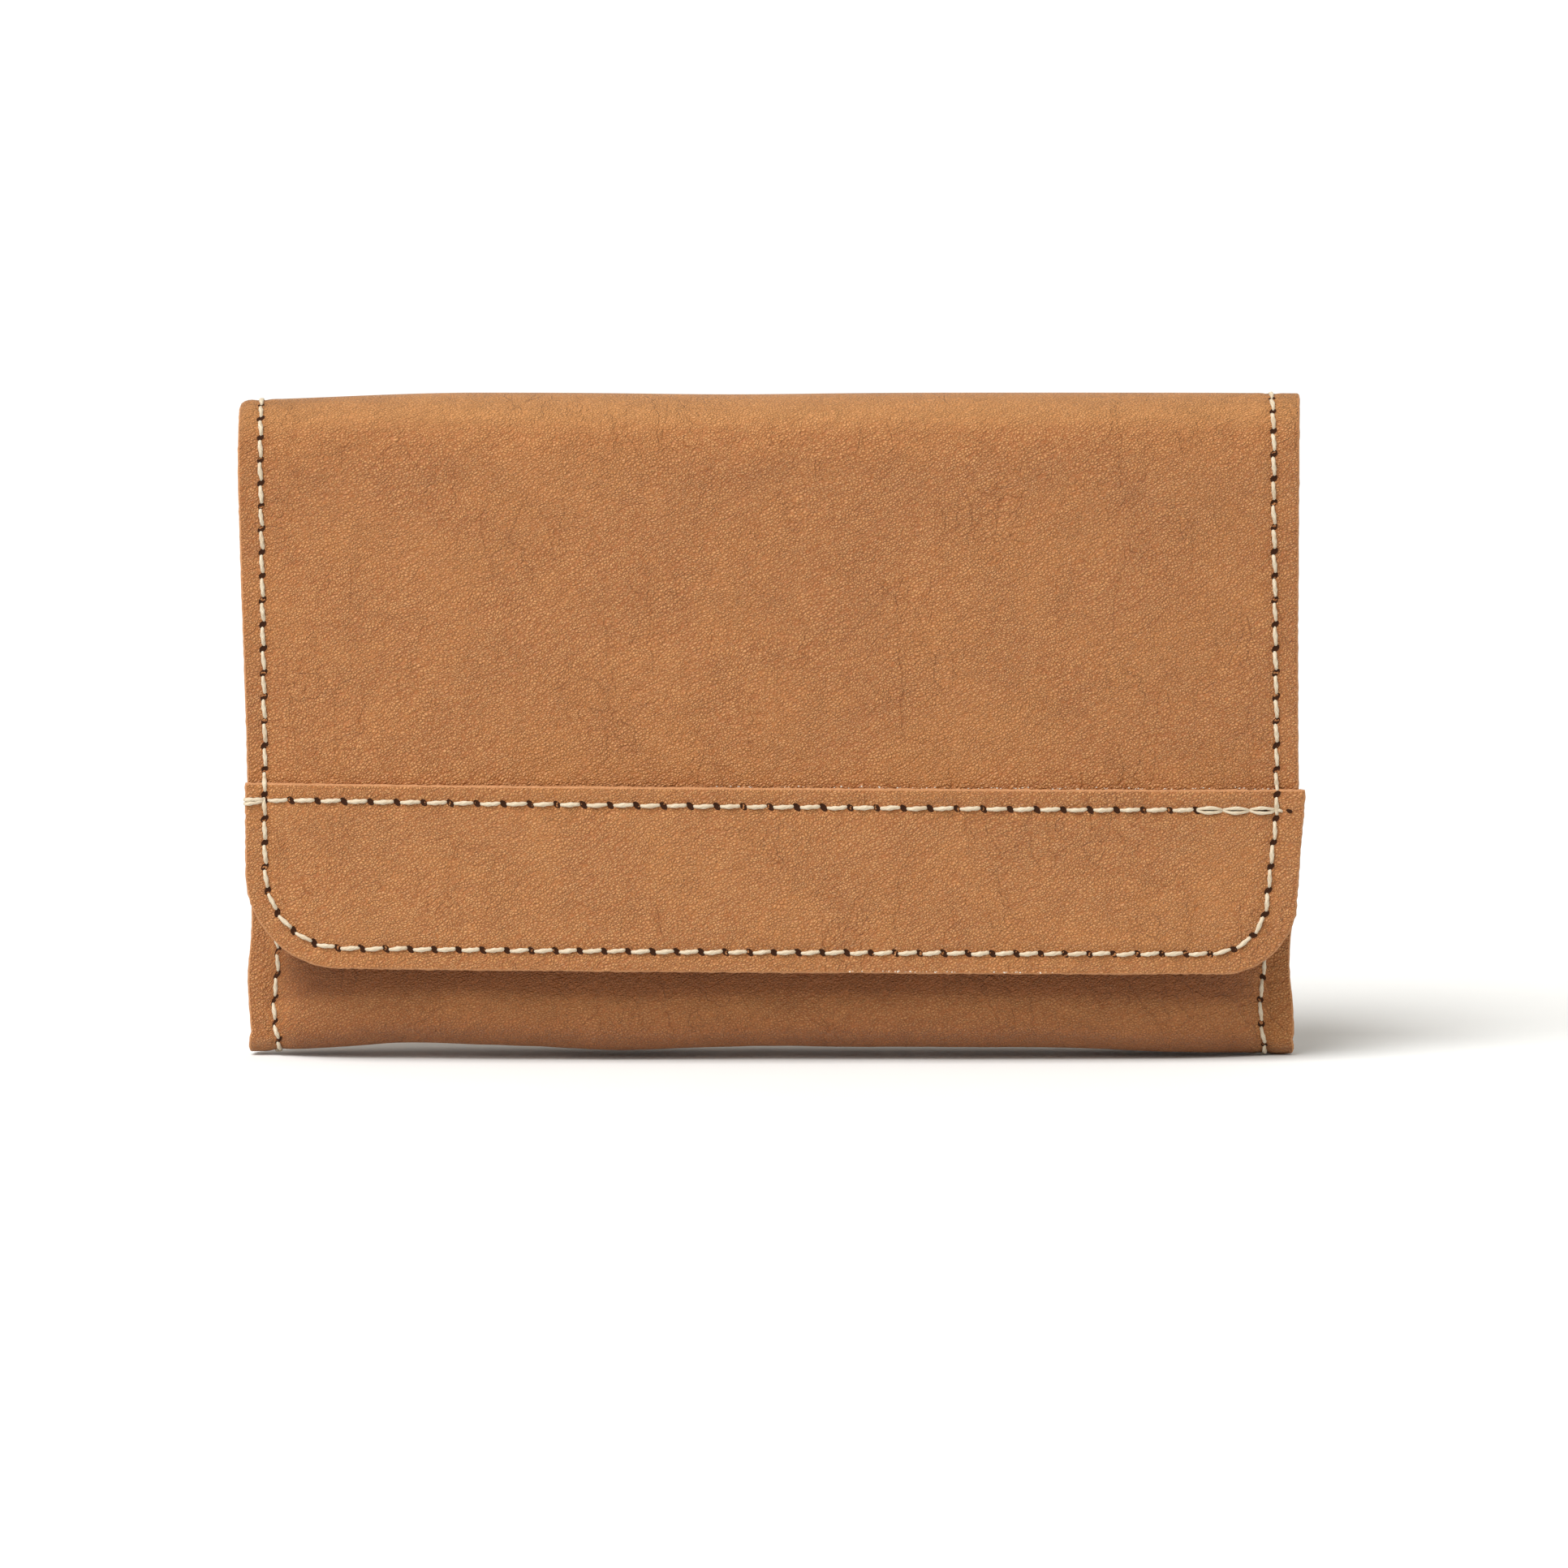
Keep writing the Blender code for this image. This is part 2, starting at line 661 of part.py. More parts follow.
def disc(name, radius, low_y, high_y, finish, parent):
    profile = [(0, high_y), (radius, high_y), (radius, low_y), (0, low_y)]
    turned(name, profile, (0, 0, SNAP_Z), finish, parent)


def make_fold(parent, finishes):
    """The middle of the top fold, between the pivot lines: outer leather and lining."""
    outline = rectangle(-PANEL_HALF, PANEL_HALF, 0, 1)
    finish = finishes["tan"]
    sheet("fold_leather", outline, crest_sheet(0.0), LEATHER, CREST_ROWS, finish, parent)
    outline = rectangle(-INNER_HALF, INNER_HALF, 0, 1)
    place = crest_sheet(LEATHER + GAP)
    sheet("fold_lining", outline, place, LINING, CREST_ROWS, finishes["suede"], parent)


def make_flap(parent, finishes):
    """The flap's panel, the band lapped over its lower end, and the lining behind both."""
    arch_rows = tuple(ARCH_Z + a for a in ARCH_ROWS)
    outline = rectangle(-PANEL_HALF, PANEL_HALF, PANEL_END_Z, ARCH_Z + 1)
    rows = ROWS + arch_rows
    sheet("flap_panel", outline, flap_sheet(PANEL_OUT), LEATHER, rows, finishes["tan"], parent)
    outline = rounded_end(BAND_HALF, FLAP_END_Z, BAND_TOP_Z, FLAP_CORNER)
    sheet("flap_band", outline, flap_sheet(BAND_OUT), LEATHER, ROWS, finishes["band"], parent)
    low = FLAP_END_Z + LINING_INSET
    radius = FLAP_CORNER - LINING_INSET
    outline = rounded_end(BAND_HALF - LINING_INSET, low, ARCH_Z + 1, radius)
    place = flap_sheet(LINING_OUT, step=LINING_STEP)
    sheet("flap_lining", outline, place, LINING, rows, finishes["suede"], parent)


def make_threads(root, fold, flap, finishes):
    """Seam threads, each lying just off the leather that it sews."""
    finish = finishes["thread"]
    off = -THREAD_OFF
    for side, side_name in ((-1, "left"), (1, "right")):
        x = side * SEAM_X
        heights = spread(THREAD_LOW_Z, MOUTH_Z - THREAD_END, 12)
        points = [(x, -body_half(x, z) - THREAD_OFF, z) for z in heights]
        thread(f"front_seam_thread_{side_name}", points, finish, root)
        heights = spread(THREAD_LOW_Z, ARCH_Z, 14)
        points = [(x, body_half(x, z) + THREAD_OFF, z) for z in heights]
        end = shoulder_angle(x, off, -GAP, REAR)
        points += [arch_point(x, end * share, off) for share in spread(0.25, 1, 4)]
        thread(f"back_seam_thread_{side_name}", points, finish, root)
        start = shoulder_angle(x, off, GAP, REAR)
        angles = spread(start, math.pi - shoulder_angle(x, off, GAP, FRONT), 7)
        points = [arch_point(x, angle, off) for angle in angles]
        thread(f"fold_thread_{side_name}", points, finish, fold)
    thread("flap_edge_thread", flap_edge_route(), finish, flap)
    ends = SEAM_X - THREAD_END
    inner = [x for x in COLUMNS if x < ends]
    across = [-x for x in reversed(inner[1:])] + inner
    points = [on_flap(x, BAND_SEAM_Z, BAND_OUT) for x in across]
    thread("band_seam_thread", points, finish, flap)


def on_flap(x, z, out):
    """A point of a thread that lies just off one of the flap's sheets."""
    return (x, -flap_front(x, z, out + THREAD_OFF), z)


def flap_edge_route():
    """Down the right side of the flap from the fold, round its free end and up the left side."""
    inset = PANEL_HALF - SEAM_X
    radius = FLAP_CORNER - inset
    low = FLAP_END_Z + inset
    shoulder = shoulder_angle(SEAM_X, -THREAD_OFF, -GAP, FRONT)
    right = []
    for share in spread(1, 0, 4):
        right.append(arch_point(SEAM_X, math.pi - shoulder * share, -THREAD_OFF))
    for z in spread(ARCH_Z - 0.008, BAND_TOP_Z + 0.003, 6):
        right.append(on_flap(SEAM_X, z, PANEL_OUT))
    for z in spread(BAND_TOP_Z + 0.0005, low + radius, 5):
        right.append(on_flap(SEAM_X, z, BAND_OUT))
    for step in range(1, 7):
        turn = math.radians(15 * step)
        x = SEAM_X - radius + radius * math.cos(turn)
        right.append(on_flap(x, low + radius - radius * math.sin(turn), BAND_OUT))
    for x in reversed([x for x in COLUMNS if x < SEAM_X - radius - 0.002]):
        right.append(on_flap(x, low, BAND_OUT))
    left = [(-x, y, z) for x, y, z in reversed(right[:-1])]
    return right + left


def main():
    for obj in list(bpy.data.objects):
        bpy.data.objects.remove(obj, do_unlink=True)
    finishes = {
        "tan": material("tan_leather", TAN, 0.55),
        "band": material("tan_band_leather", TAN_LIGHT, 0.55),
        "suede": material("suede_lining", SUEDE, 0.85),
        "lining": material("inner_leather", INNER_TAN, 0.6),
        "slot": material("card_slot_leather", INNER_TAN, 0.6),
        "thread": material("cream_thread", CREAM, 0.7),
        "tape": material("zip_tape", TAPE_BROWN, 0.8),
        "brass": material("brass", BRASS, 0.3, 1.0),
        "nickel": material("nickel", NICKEL, 0.3, 1.0),
    }
    root = empty("root", (0, 0, 0))
    fold = empty("flap_fold", (0, ARCH_Y + PIVOT_OFFSET_Y, PIVOT_Z), root)
    flap = empty("flap", (0, ARCH_Y - PIVOT_OFFSET_Y, PIVOT_Z), fold)
    slider = empty("zip_slider_body", (SLIDER_X, ZIP_Y, CHAIN_TOP_Z), root)
    puller = empty("zip_puller_body", (SLIDER_X, ZIP_Y, PULLER_Z), slider)
    make_shell(root, finishes)
    make_back_lining(root, finishes)
    make_card_slots(root, finishes)
    make_coin_pocket(root, finishes)
    make_zip(root, finishes)
    make_slider(slider, finishes)
    make_puller(puller, finishes)
    make_fold(fold, finishes)
    make_flap(flap, finishes)
    make_snap(root, flap, finishes)
    make_threads(root, fold, flap, finishes)


main()
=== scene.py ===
"""Looks of the long wallet: fine leather sheets, hand stitching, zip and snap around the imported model.

Lengths are metres in the model's own frame: the front faces -Y and the wallet stands on z = 0.
Every leather sheet is a grid in flat coordinates (x, v) that a place function bends to its shape,
where v runs along the leather, so that the grain's texture coordinates are the flat leather's own.
"""

import math

import bpy
import numpy as np
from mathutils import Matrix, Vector, kdtree


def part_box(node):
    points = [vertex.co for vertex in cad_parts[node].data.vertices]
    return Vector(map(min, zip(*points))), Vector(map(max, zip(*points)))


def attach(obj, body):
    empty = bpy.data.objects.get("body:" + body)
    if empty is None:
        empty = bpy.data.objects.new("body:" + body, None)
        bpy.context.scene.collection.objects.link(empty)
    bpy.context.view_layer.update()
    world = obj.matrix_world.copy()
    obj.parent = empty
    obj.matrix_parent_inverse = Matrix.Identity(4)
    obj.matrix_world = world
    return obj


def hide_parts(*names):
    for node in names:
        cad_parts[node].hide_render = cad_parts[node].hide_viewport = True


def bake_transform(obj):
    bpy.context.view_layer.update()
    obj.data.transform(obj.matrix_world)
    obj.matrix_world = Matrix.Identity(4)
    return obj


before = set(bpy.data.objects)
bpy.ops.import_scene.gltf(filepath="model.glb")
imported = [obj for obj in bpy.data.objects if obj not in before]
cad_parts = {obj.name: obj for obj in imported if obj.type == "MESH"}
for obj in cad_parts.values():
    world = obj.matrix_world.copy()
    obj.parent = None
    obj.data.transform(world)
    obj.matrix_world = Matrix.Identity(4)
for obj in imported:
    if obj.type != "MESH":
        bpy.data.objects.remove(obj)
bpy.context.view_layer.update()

# Leather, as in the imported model: the sheets' thicknesses, the gaps between them, and the body's half
# depth at its side seams and in its middle, where each of the three compartments has some room
LEATHER = 0.0012
LINING = 0.0008
SLOT = 0.0005
GAP = 0.0003
SLOT_ROWS = 3
ROOM = 0.0047
SEAM_HALF = (2 * LEATHER + 3 * LINING + 4 * GAP) / 2
FULL_HALF = (2 * LEATHER + 3 * LINING + GAP + SLOT_ROWS * (SLOT + GAP) + 3 * ROOM) / 2
BASE_TAPER = 0.10
TOP_TAPER = 0.10
SWELL_EDGE = 0.0895
MOUTH_Z = 0.0920
ARCH_Z = 0.1065
ARCH_RISE = 0.0126
POCKET_FLOOR_Z = 0.0140
POCKET_MOUTH_Z = 0.0880
FLAP_GAP = 0.0011
FLAP_BOW = 0.40
PANEL_OUT = FLAP_GAP + LINING + GAP + LEATHER
BAND_OUT = PANEL_OUT + 0.0001 + LEATHER
GLUE = 0.00005
LINING_INSET = 0.0006

# How far the raw edge of the outer leather wanders
OUTER_RAG = 0.00004

# Outline of the flap and of the band on its lower end
BAND_TOP_Z = 0.0495
PANEL_END_Z = 0.0420
FLAP_END_Z = 0.0171
LEFT_CORNER = 0.0164
RIGHT_CORNER = 0.0130
CREST_HALF = 0.0938
BODY_HALF = 0.0929

# Runs of the body's leather along v, from the crest down the back, under and up the front
ARCH_RUN = 0.0194
FOLD_RADIUS = 0.0050
BACK_RUN = ARCH_Z - FOLD_RADIUS
CORNER_RUN = FOLD_RADIUS * math.pi / 2
FLOOR_RUN = 2 * (FULL_HALF - FOLD_RADIUS)
FRONT_RUN = MOUTH_Z - FOLD_RADIUS
BODY_RUNS = (ARCH_RUN, BACK_RUN, CORNER_RUN, FLOOR_RUN, CORNER_RUN, FRONT_RUN)
BODY_STOPS = [sum(BODY_RUNS[:count]) for count in range(len(BODY_RUNS) + 1)]
BODY_RUN = BODY_STOPS[-1]
LOWEST_RUN = BODY_STOPS[4] + CORNER_RUN / 2

# Stitching: a stitch dives under the leather at both ends and lifts off it in its middle
PITCH = 0.0043
BAND_PITCH = 0.00475
THREAD_RADIUS = 0.00039
STITCH_DIVE = 0.00048
STITCH_LIFT = 0.00020
STITCH_REACH = 0.39
BAND_SEAM_Z = 0.04645
BAND_SEAM_DROP = 0.0019
SEAM_INSET = 0.0036
BACKSTITCHES = 3
FIBRES = 90
GLUE_SPECKS = 150

# Fineness of the meshes and of the hide's waviness
SEAM_MARGIN = 0.008
SAMPLE_STEP = 0.0005
WAVE_COUNT = 7

# Finish numbers of a leather sheet, and of a row of stitches
FACE, BACK, CUT_EDGE = 0, 1, 2
THREAD, HOLE = 0, 1

# The two bodies, the joint and the direction that each bend is given
REAR_BEND = ("root", "flap_fold", "flap_open", 1)
FRONT_BEND = ("flap_fold", "flap", "flap_unroll", -1)

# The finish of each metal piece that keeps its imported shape
METAL_NODES = {
    "zip_slider": "brass",
    "zip_slider_base": "brass",
    "zip_stop_open": "brass",
    "zip_stop_closed": "brass",
    "zip_puller": "nickel",
    "snap_socket": "nickel",
    "snap_socket_washer": "nickel",
    "snap_stud": "nickel",
    "snap_stud_washer": "nickel",
}


# ---------------------------------------------------------------- camera, light and floor


def add_object(name, data):
    made = bpy.data.objects.new(name, data)
    bpy.context.scene.collection.objects.link(made)
    return made


def make_camera():
    """A long lens a little above the wallet, as in product photography."""
    target = Vector((0.0026, -0.005, 0.0494))
    distance, width, rise = 1.25, 0.2800, math.radians(6.0)
    data = bpy.data.cameras.new("camera")
    data.sensor_width = 36
    data.lens = data.sensor_width * distance / width
    camera = add_object("camera", data)
    camera.location = target + distance * Vector((0, -math.cos(rise), math.sin(rise)))
    camera.rotation_euler = (math.pi / 2 - rise, 0, 0)
    bpy.context.scene.camera = camera


def make_light():
    """A broad soft sun high on the front left, a weak side light, and an even white surround."""
    sun = bpy.data.lights.new("key", "SUN")
    sun.energy, sun.angle, sun.color = 3.05, math.radians(34), (1.0, 0.992, 0.98)
    add_object("key", sun).rotation_euler = (math.radians(33), 0, math.radians(-40))
    panel = bpy.data.lights.new("side", "AREA")
    panel.energy, panel.size = 0.8, 0.30
    side = add_object("side", panel)
    side.location = (-0.48, -0.36, 0.34)
    towards = Vector((0.0, 0.0, 0.07)) - side.location
    side.rotation_euler = towards.to_track_quat("-Z", "Y").to_euler()
    world = bpy.data.worlds.new("studio")
    bpy.context.scene.world = world
    world.use_nodes = True
    background = world.node_tree.nodes["Background"]
    background.inputs["Color"].default_value = (1.0, 0.975, 0.90, 1)
    background.inputs["Strength"].default_value = 0.58
    bpy.context.scene.view_settings.view_transform = "Standard"


def make_floor():
    """A round floor whose rim curves up into a low wall, so that no horizon shows."""
    flat, curve, wall = 4.0, 1.2, 0.8
    turns = np.linspace(0, math.pi / 2, 13)[1:]
    radii = np.concatenate([[0.0, 0.4, flat], flat + curve * np.sin(turns), [flat + curve]])[:, None]
    heights = np.concatenate([[0.0] * 3, curve - curve * np.cos(turns), [curve + wall]])[:, None]
    around = np.linspace(0, 2 * math.pi, 96, endpoint=False)
    build = Build()
    rings = build.add(stacked(radii * np.cos(around), radii * np.sin(around), heights), (0, 0))
    build.quads(rings[::-1], FACE, closed=True)
    floor = build.finished("studio_floor", [floor_finish()], outward=False)


# ---------------------------------------------------------------- materials


SHADER_INPUTS = {
    "specular": "Specular IOR Level",
    "sheen": "Sheen Weight",
    "sheen_roughness": "Sheen Roughness",
    "metallic": "Metallic",
}


def rgb(red, green, blue):
    return (red, green, blue, 1.0)


def toned(tone, *factors):
    """A colour whose parts are multiplied, each by its own factor or all by the one given."""
    return rgb(*(c * d for c, d in zip(tone, factors * 3 if len(factors) == 1 else factors)))


class Finish:
    """A node material in the making: its methods add nodes and return the socket that counts."""

    def __init__(self, name):
        self.material = bpy.data.materials.new(name)
        self.material.use_nodes = True
        self.tree = self.material.node_tree

    def feed(self, node, inputs):
        """Sets inputs, each to a number, to a colour or to the socket that feeds it."""
        for key, value in inputs.items():
            if isinstance(value, bpy.types.NodeSocket):
                self.tree.links.new(value, node.inputs[key])
            else:
                node.inputs[key].default_value = value

    def add(self, kind, inputs=None, output=0, **settings):
        made = self.tree.nodes.new("ShaderNode" + kind)
        for key, value in settings.items():
            setattr(made, key, value)
        self.feed(made, inputs or {})
        return made.outputs[output]

    def noise(self, vector, scale, detail=2.0, rough=0.5, distortion=0.0, output="Fac"):
        names = ("Vector", "Scale", "Detail", "Roughness", "Distortion")
        return self.add("TexNoise", dict(zip(names, (vector, scale, detail, rough, distortion))), output)

    def remap(self, value, low, high, new_low=0.0, new_high=1.0):
        names = ("Value", "From Min", "From Max", "To Min", "To Max")
        inputs = dict(zip(names, (value, low, high, new_low, new_high)))
        return self.add("MapRange", inputs, interpolation_type="SMOOTHSTEP")

    def calculate(self, operation, *values):
        return self.add("Math", dict(enumerate(values)), operation=operation)

    def vector(self, operation, first, second):
        """Vector arithmetic, where SCALE takes a number and the others take a vector."""
        key = "Scale" if operation == "SCALE" else 1
        return self.add("VectorMath", {0: first, key: second}, operation=operation)

    def mix(self, factor, first, second):
        return self.add("Mix", {0: factor, 6: first, 7: second}, 2, data_type="RGBA")

    def warped(self, coordinates, size, amount):
        """The coordinates pushed about by soft noise, so that no pattern runs dead straight."""
        pushed = self.noise(coordinates, 1 / size, output="Color")
        centred = self.vector("SUBTRACT", pushed, (0.5, 0.5, 0.5))
        return self.vector("ADD", coordinates, self.vector("SCALE", centred, amount))

    def stretched(self, coordinates, turn, size):
        """Coordinates turned by an angle in degrees and counted in cells of the given size."""
        inputs = {"Vector": coordinates, "Angle": math.radians(turn)}
        turned = self.add("VectorRotate", inputs, rotation_type="Z_AXIS")
        return self.vector("MULTIPLY", turned, (1 / size[0], 1 / size[1], 1.0))

    def uv(self):
        return self.add("UVMap", output="UV", uv_map="flat")

    def flat(self):
        """The flat leather's own coordinates, in millimetres."""
        return self.vector("SCALE", self.uv(), 1000.0)

    def voronoi(self, vector, feature="DISTANCE_TO_EDGE"):
        return self.add("TexVoronoi", {"Vector": vector, "Scale": 1.0}, "Distance", feature=feature)

    def weighted_sum(self, *terms):
        """The sum of the sockets, each times its weight."""
        total = self.calculate("MULTIPLY", *terms[0])
        for value, weight in terms[1:]:
            total = self.calculate("MULTIPLY_ADD", value, weight, total)
        return total

    def finished(self, colour, roughness, height=None, relief=0.0, **others):
        """The material, with its shader fed; a height raises the surface by `relief`."""
        inputs = {"Base Color": colour, "Roughness": roughness}
        if height is not None:
            inputs["Normal"] = self.add("Bump", {"Height": height, "Distance": relief}, "Normal")
        inputs.update((SHADER_INPUTS[key], value) for key, value in others.items())
        self.feed(self.tree.nodes["Principled BSDF"], inputs)
        return self.material


def grain_leather(name, tone, pebble=(0.56, 0.40), relief=0.00025, roughness=0.48):
    """Full-grain leather: slanting pebbles with painted highlights on their tops and painted shade in
    their valleys, streaks and wrinkles, mottling, and a top fold lightened partly by wear and partly by a
    painted highlight.
    """
    made = Finish(name)
    flat = made.flat()
    flow = made.warped(made.warped(flat, 16.0, 3.2), 2.2, 0.7)
    cells = made.stretched(flow, 28, pebble)
    valley = made.remap(made.voronoi(cells), 0.0, 0.16)
    dome = made.remap(made.voronoi(cells, "F1"), 0.80, 0.0)
    furrow = made.remap(made.voronoi(made.stretched(flow, 33, (2.6, 0.80))), 0.0, 0.17)
    streaks = made.noise(made.stretched(flow, 30, (3.0, 0.60)), 1.0, 3.0, 0.6)
    fine = made.noise(flat, 5.0, 3.0, 0.65)
    firm = made.remap(made.noise(flat, 0.09, 3.0, 0.55), 0.36, 0.66, 0.80, 1.0)
    wrinkles = wrinkle_lines(made, flat)
    height = made.weighted_sum((dome, 0.70), (valley, 0.45), (furrow, 0.42), (streaks, 0.60))
    height = made.calculate("MULTIPLY", height, firm)
    height = made.weighted_sum((height, 1.0), (fine, 0.35), (wrinkles, -0.80))
    # Painted highlight and shade: the colour follows the height, lighter on the pebble tops and darker in
    # the valleys and the low streaks.
    dark, light = toned(tone, 0.60, 0.36, 0.12), toned(tone, 1.12, 1.23, 1.50)
    colour = made.mix(made.remap(dome, 0.0, 1.0, 0.50, 0.95), dark, light)
    colour = made.mix(made.remap(valley, 0.0, 1.0, 0.50, 0.0), colour, dark)
    colour = made.mix(made.remap(streaks, 0.30, 0.62, 0.50, 0.0), colour, dark)
    blotches = made.remap(made.noise(flat, 0.045, 4.0, 0.6, 0.6), 0.40, 0.68, 0.0, 0.35)
    colour = made.mix(blotches, colour, toned(tone, 0.97, 0.90, 0.82))
    colour = made.mix(made.remap(made.noise(flat, 2.3, 1.0), 0.24, 0.36, 0.55, 0.0), colour, dark)
    # Painted shade in the wrinkles.
    colour = made.mix(made.calculate("MULTIPLY", wrinkles, 0.22), colour, dark)
    colour = highlit_worn_and_shaded(made, colour, tone)
    gloss = made.remap(fine, 0.3, 0.7, roughness - 0.08, roughness + 0.10)
    return made.finished(colour, gloss, height, relief, specular=0.46, sheen=0.04)


def wrinkle_lines(made, flat):
    """1 along a few long faint wrinkles of the hide, which run down the sheet."""
    bent = made.warped(made.warped(flat, 20.0, 6.0), 3.0, 1.2)
    line = made.remap(made.voronoi(made.stretched(bent, 6, (6.5, 24.0))), 0.0, 0.045, 1.0, 0.0)
    return made.calculate("MULTIPLY", line, made.remap(made.noise(flat, 0.055), 0.44, 0.62))


def highlit_worn_and_shaded(made, colour, tone):
    """Lightens the leather along the top fold, partly stretch wear and partly a painted highlight where
    the fold catches the light, and applies each sheet's own shading from its shade attribute, painted
    shade included.
    """
    along = made.add("SeparateXYZ", {0: made.uv()}, "Y")
    away = made.calculate("ABSOLUTE", made.calculate("SUBTRACT", along, 0.006))
    # Painted highlight along the top fold, partly also stretch wear.
    fold_wear_and_highlight = made.remap(away, 0.003, 0.008, 0.5, 0.0)
    colour = made.mix(fold_wear_and_highlight, colour, toned(tone, 1.12, 1.20, 1.35))
    # The shade attribute mixes in a darker colour: tone clouds, seam darkening and painted shade.
    shade = made.add("Attribute", output="Fac", attribute_name="shade")
    return made.mix(shade, colour, toned(tone, 0.42, 0.25, 0.06))


def suede(name, tone):
    """The flesh side: short matted fibres in every direction."""
    made = Finish(name)
    flat = made.flat()
    fibres = made.noise(made.stretched(made.warped(flat, 1.2, 1.4), 20, (0.5, 0.14)), 1.0, 4.0, 0.7)
    nap = made.noise(flat, 0.22, 3.0, 0.6)
    lumps = made.noise(flat, 1.6)
    dark = toned(tone, 0.66)
    colour = made.mix(made.remap(fibres, 0.28, 0.72), dark, toned(tone, 1.22))
    colour = made.mix(made.remap(nap, 0.35, 0.7, 0.0, 0.35), colour, dark)
    height = made.weighted_sum((fibres, 1.0), (lumps, 0.8))
    return made.finished(colour, 0.92, height, 0.00009, specular=0.2, sheen=0.10, sheen_roughness=0.6)


def cut_edge(name, tone):
    """A raw cut edge: loose fibres in streaks along it, paler than the grain."""
    made = Finish(name)
    close = made.vector("SCALE", made.add("NewGeometry", output="Position"), 1000.0)
    fibres = made.noise(close, 2.6, 4.0, 0.7)
    specks = made.noise(close, 6.5)
    light = toned(tone, 1.16, 1.22, 1.35)
    colour = made.mix(made.remap(fibres, 0.3, 0.7), toned(tone, 0.72), light)
    colour = made.mix(made.remap(specks, 0.58, 0.75, 0.0, 0.4), colour, light)
    height = made.weighted_sum((fibres, 1.0), (specks, 0.5))
    return made.finished(colour, 0.85, height, 0.00005, specular=0.25)


def thread_finish():
    """Waxed cream thread: fine fibres along the two twisted strands, a little soiled in places."""
    made = Finish("cream_thread_fibres")
    flat = made.flat()
    fibres = made.noise(made.stretched(flat, 32, (1.6, 0.10)), 1.0, 3.0, 0.6)
    colour = made.mix(made.remap(fibres, 0.3, 0.7), rgb(0.46, 0.36, 0.24), rgb(0.74, 0.65, 0.50))
    soil = made.remap(made.noise(flat, 0.35), 0.5, 0.75, 0.0, 0.45)
    colour = made.mix(soil, colour, rgb(0.46, 0.32, 0.19))
    return made.finished(colour, 0.62, fibres, 0.00006, specular=0.35, sheen=0.15)


def needle_hole_finish():
    """The shaded inside of a needle hole, with a few torn fibres."""
    made = Finish("needle_hole")
    fibres = made.noise(made.flat(), 5.0, 3.0)
    colour = made.mix(fibres, rgb(0.016, 0.006, 0.003), rgb(0.055, 0.020, 0.009))
    return made.finished(colour, 0.95, specular=0.1)


def glue_finish():
    """Dried clear glue: small glossy specks, coloured pale as a painted glint."""
    made = Finish("dried_glue_glint")
    cloud = made.noise(made.add("NewGeometry", output="Position"), 2500.0)
    # Painted glint: the specks' pale colour stands in for the light they reflect.
    return made.finished(made.mix(cloud, rgb(0.62, 0.50, 0.36), rgb(0.95, 0.92, 0.85)), 0.22)


def tape_finish():
    """Woven zip tape: ribs across it and the finer yarn between them."""
    made = Finish("zip_tape_weave")
    bands = []
    for scale, drift, axis in ((0.55, 0.4, "X"), (0.95, 0.5, "Y")):
        inputs = {"Vector": made.flat(), "Scale": scale, "Distortion": drift, "Detail": 1.0}
        bands.append(made.add("TexWave", inputs, "Fac", wave_type="BANDS", bands_direction=axis))
    weave = made.calculate("MULTIPLY", *bands)
    colour = made.mix(weave, rgb(0.075, 0.038, 0.020), rgb(0.20, 0.115, 0.062))
    return made.finished(colour, 0.85, weave, 0.00012, sheen=0.2)


def metal(name, tone, roughness):
    """Plated metal: brushed grain, hairline scratches and slightly dulled patches."""
    made = Finish(name)
    spot = made.add("TexCoord", output="Object")
    lines = made.noise(made.vector("MULTIPLY", spot, (40.0, 900.0, 900.0)), 5.0, 4.0, 0.6)
    dull = made.noise(spot, 260.0, 3.0)
    colour = made.mix(made.remap(dull, 0.45, 0.75, 0.0, 0.6), rgb(*tone), toned(tone, 0.72))
    gloss = made.calculate("ADD", made.remap(lines, 0.3, 0.7, -0.07, 0.12), roughness)
    gloss = made.calculate("ADD", gloss, made.remap(dull, 0.4, 0.8, 0.0, 0.15))
    return made.finished(colour, gloss, lines, 0.00001, metallic=1.0)


def floor_finish():
    """Matte white studio paper with a barely visible tooth."""
    made = Finish("studio_paper")
    tooth = made.noise(made.add("TexCoord", output="Object"), 60.0)
    colour = made.mix(tooth, rgb(0.76, 0.765, 0.765), rgb(0.78, 0.785, 0.785))
    return made.finished(colour, 0.95, specular=0.0)


# ---------------------------------------------------------------- the shape of the closed wallet


def smooth(t):
    """Smoothstep, held at 0 and 1 outside its run."""
    t = np.clip(t, 0.0, 1.0)
    return t * t * (3 - 2 * t)


def hump(t):
    """A bell of height 1 about t = 0."""
    return np.exp(-(t**2))


def stacked(*parts):
    """Coordinates of any shapes that fit together, as one array of points."""
    return np.stack(np.broadcast_arrays(*parts), axis=-1)


def unit(vectors):
    return vectors / np.maximum(np.linalg.norm(vectors, axis=-1, keepdims=True), 1e-9)


def sideways(direction):
    """A flat direction turned a quarter to the left."""
    return np.array([-direction[1], direction[0]])


def run_along(points):
    """Distance of each point along the line through all of them."""
    return np.concatenate([[0], np.cumsum(np.linalg.norm(np.diff(points, axis=0), axis=1))])


def slimming(z):
    return 1 - TOP_TAPER * smooth((z - 0.070) / (ARCH_Z - 0.070))


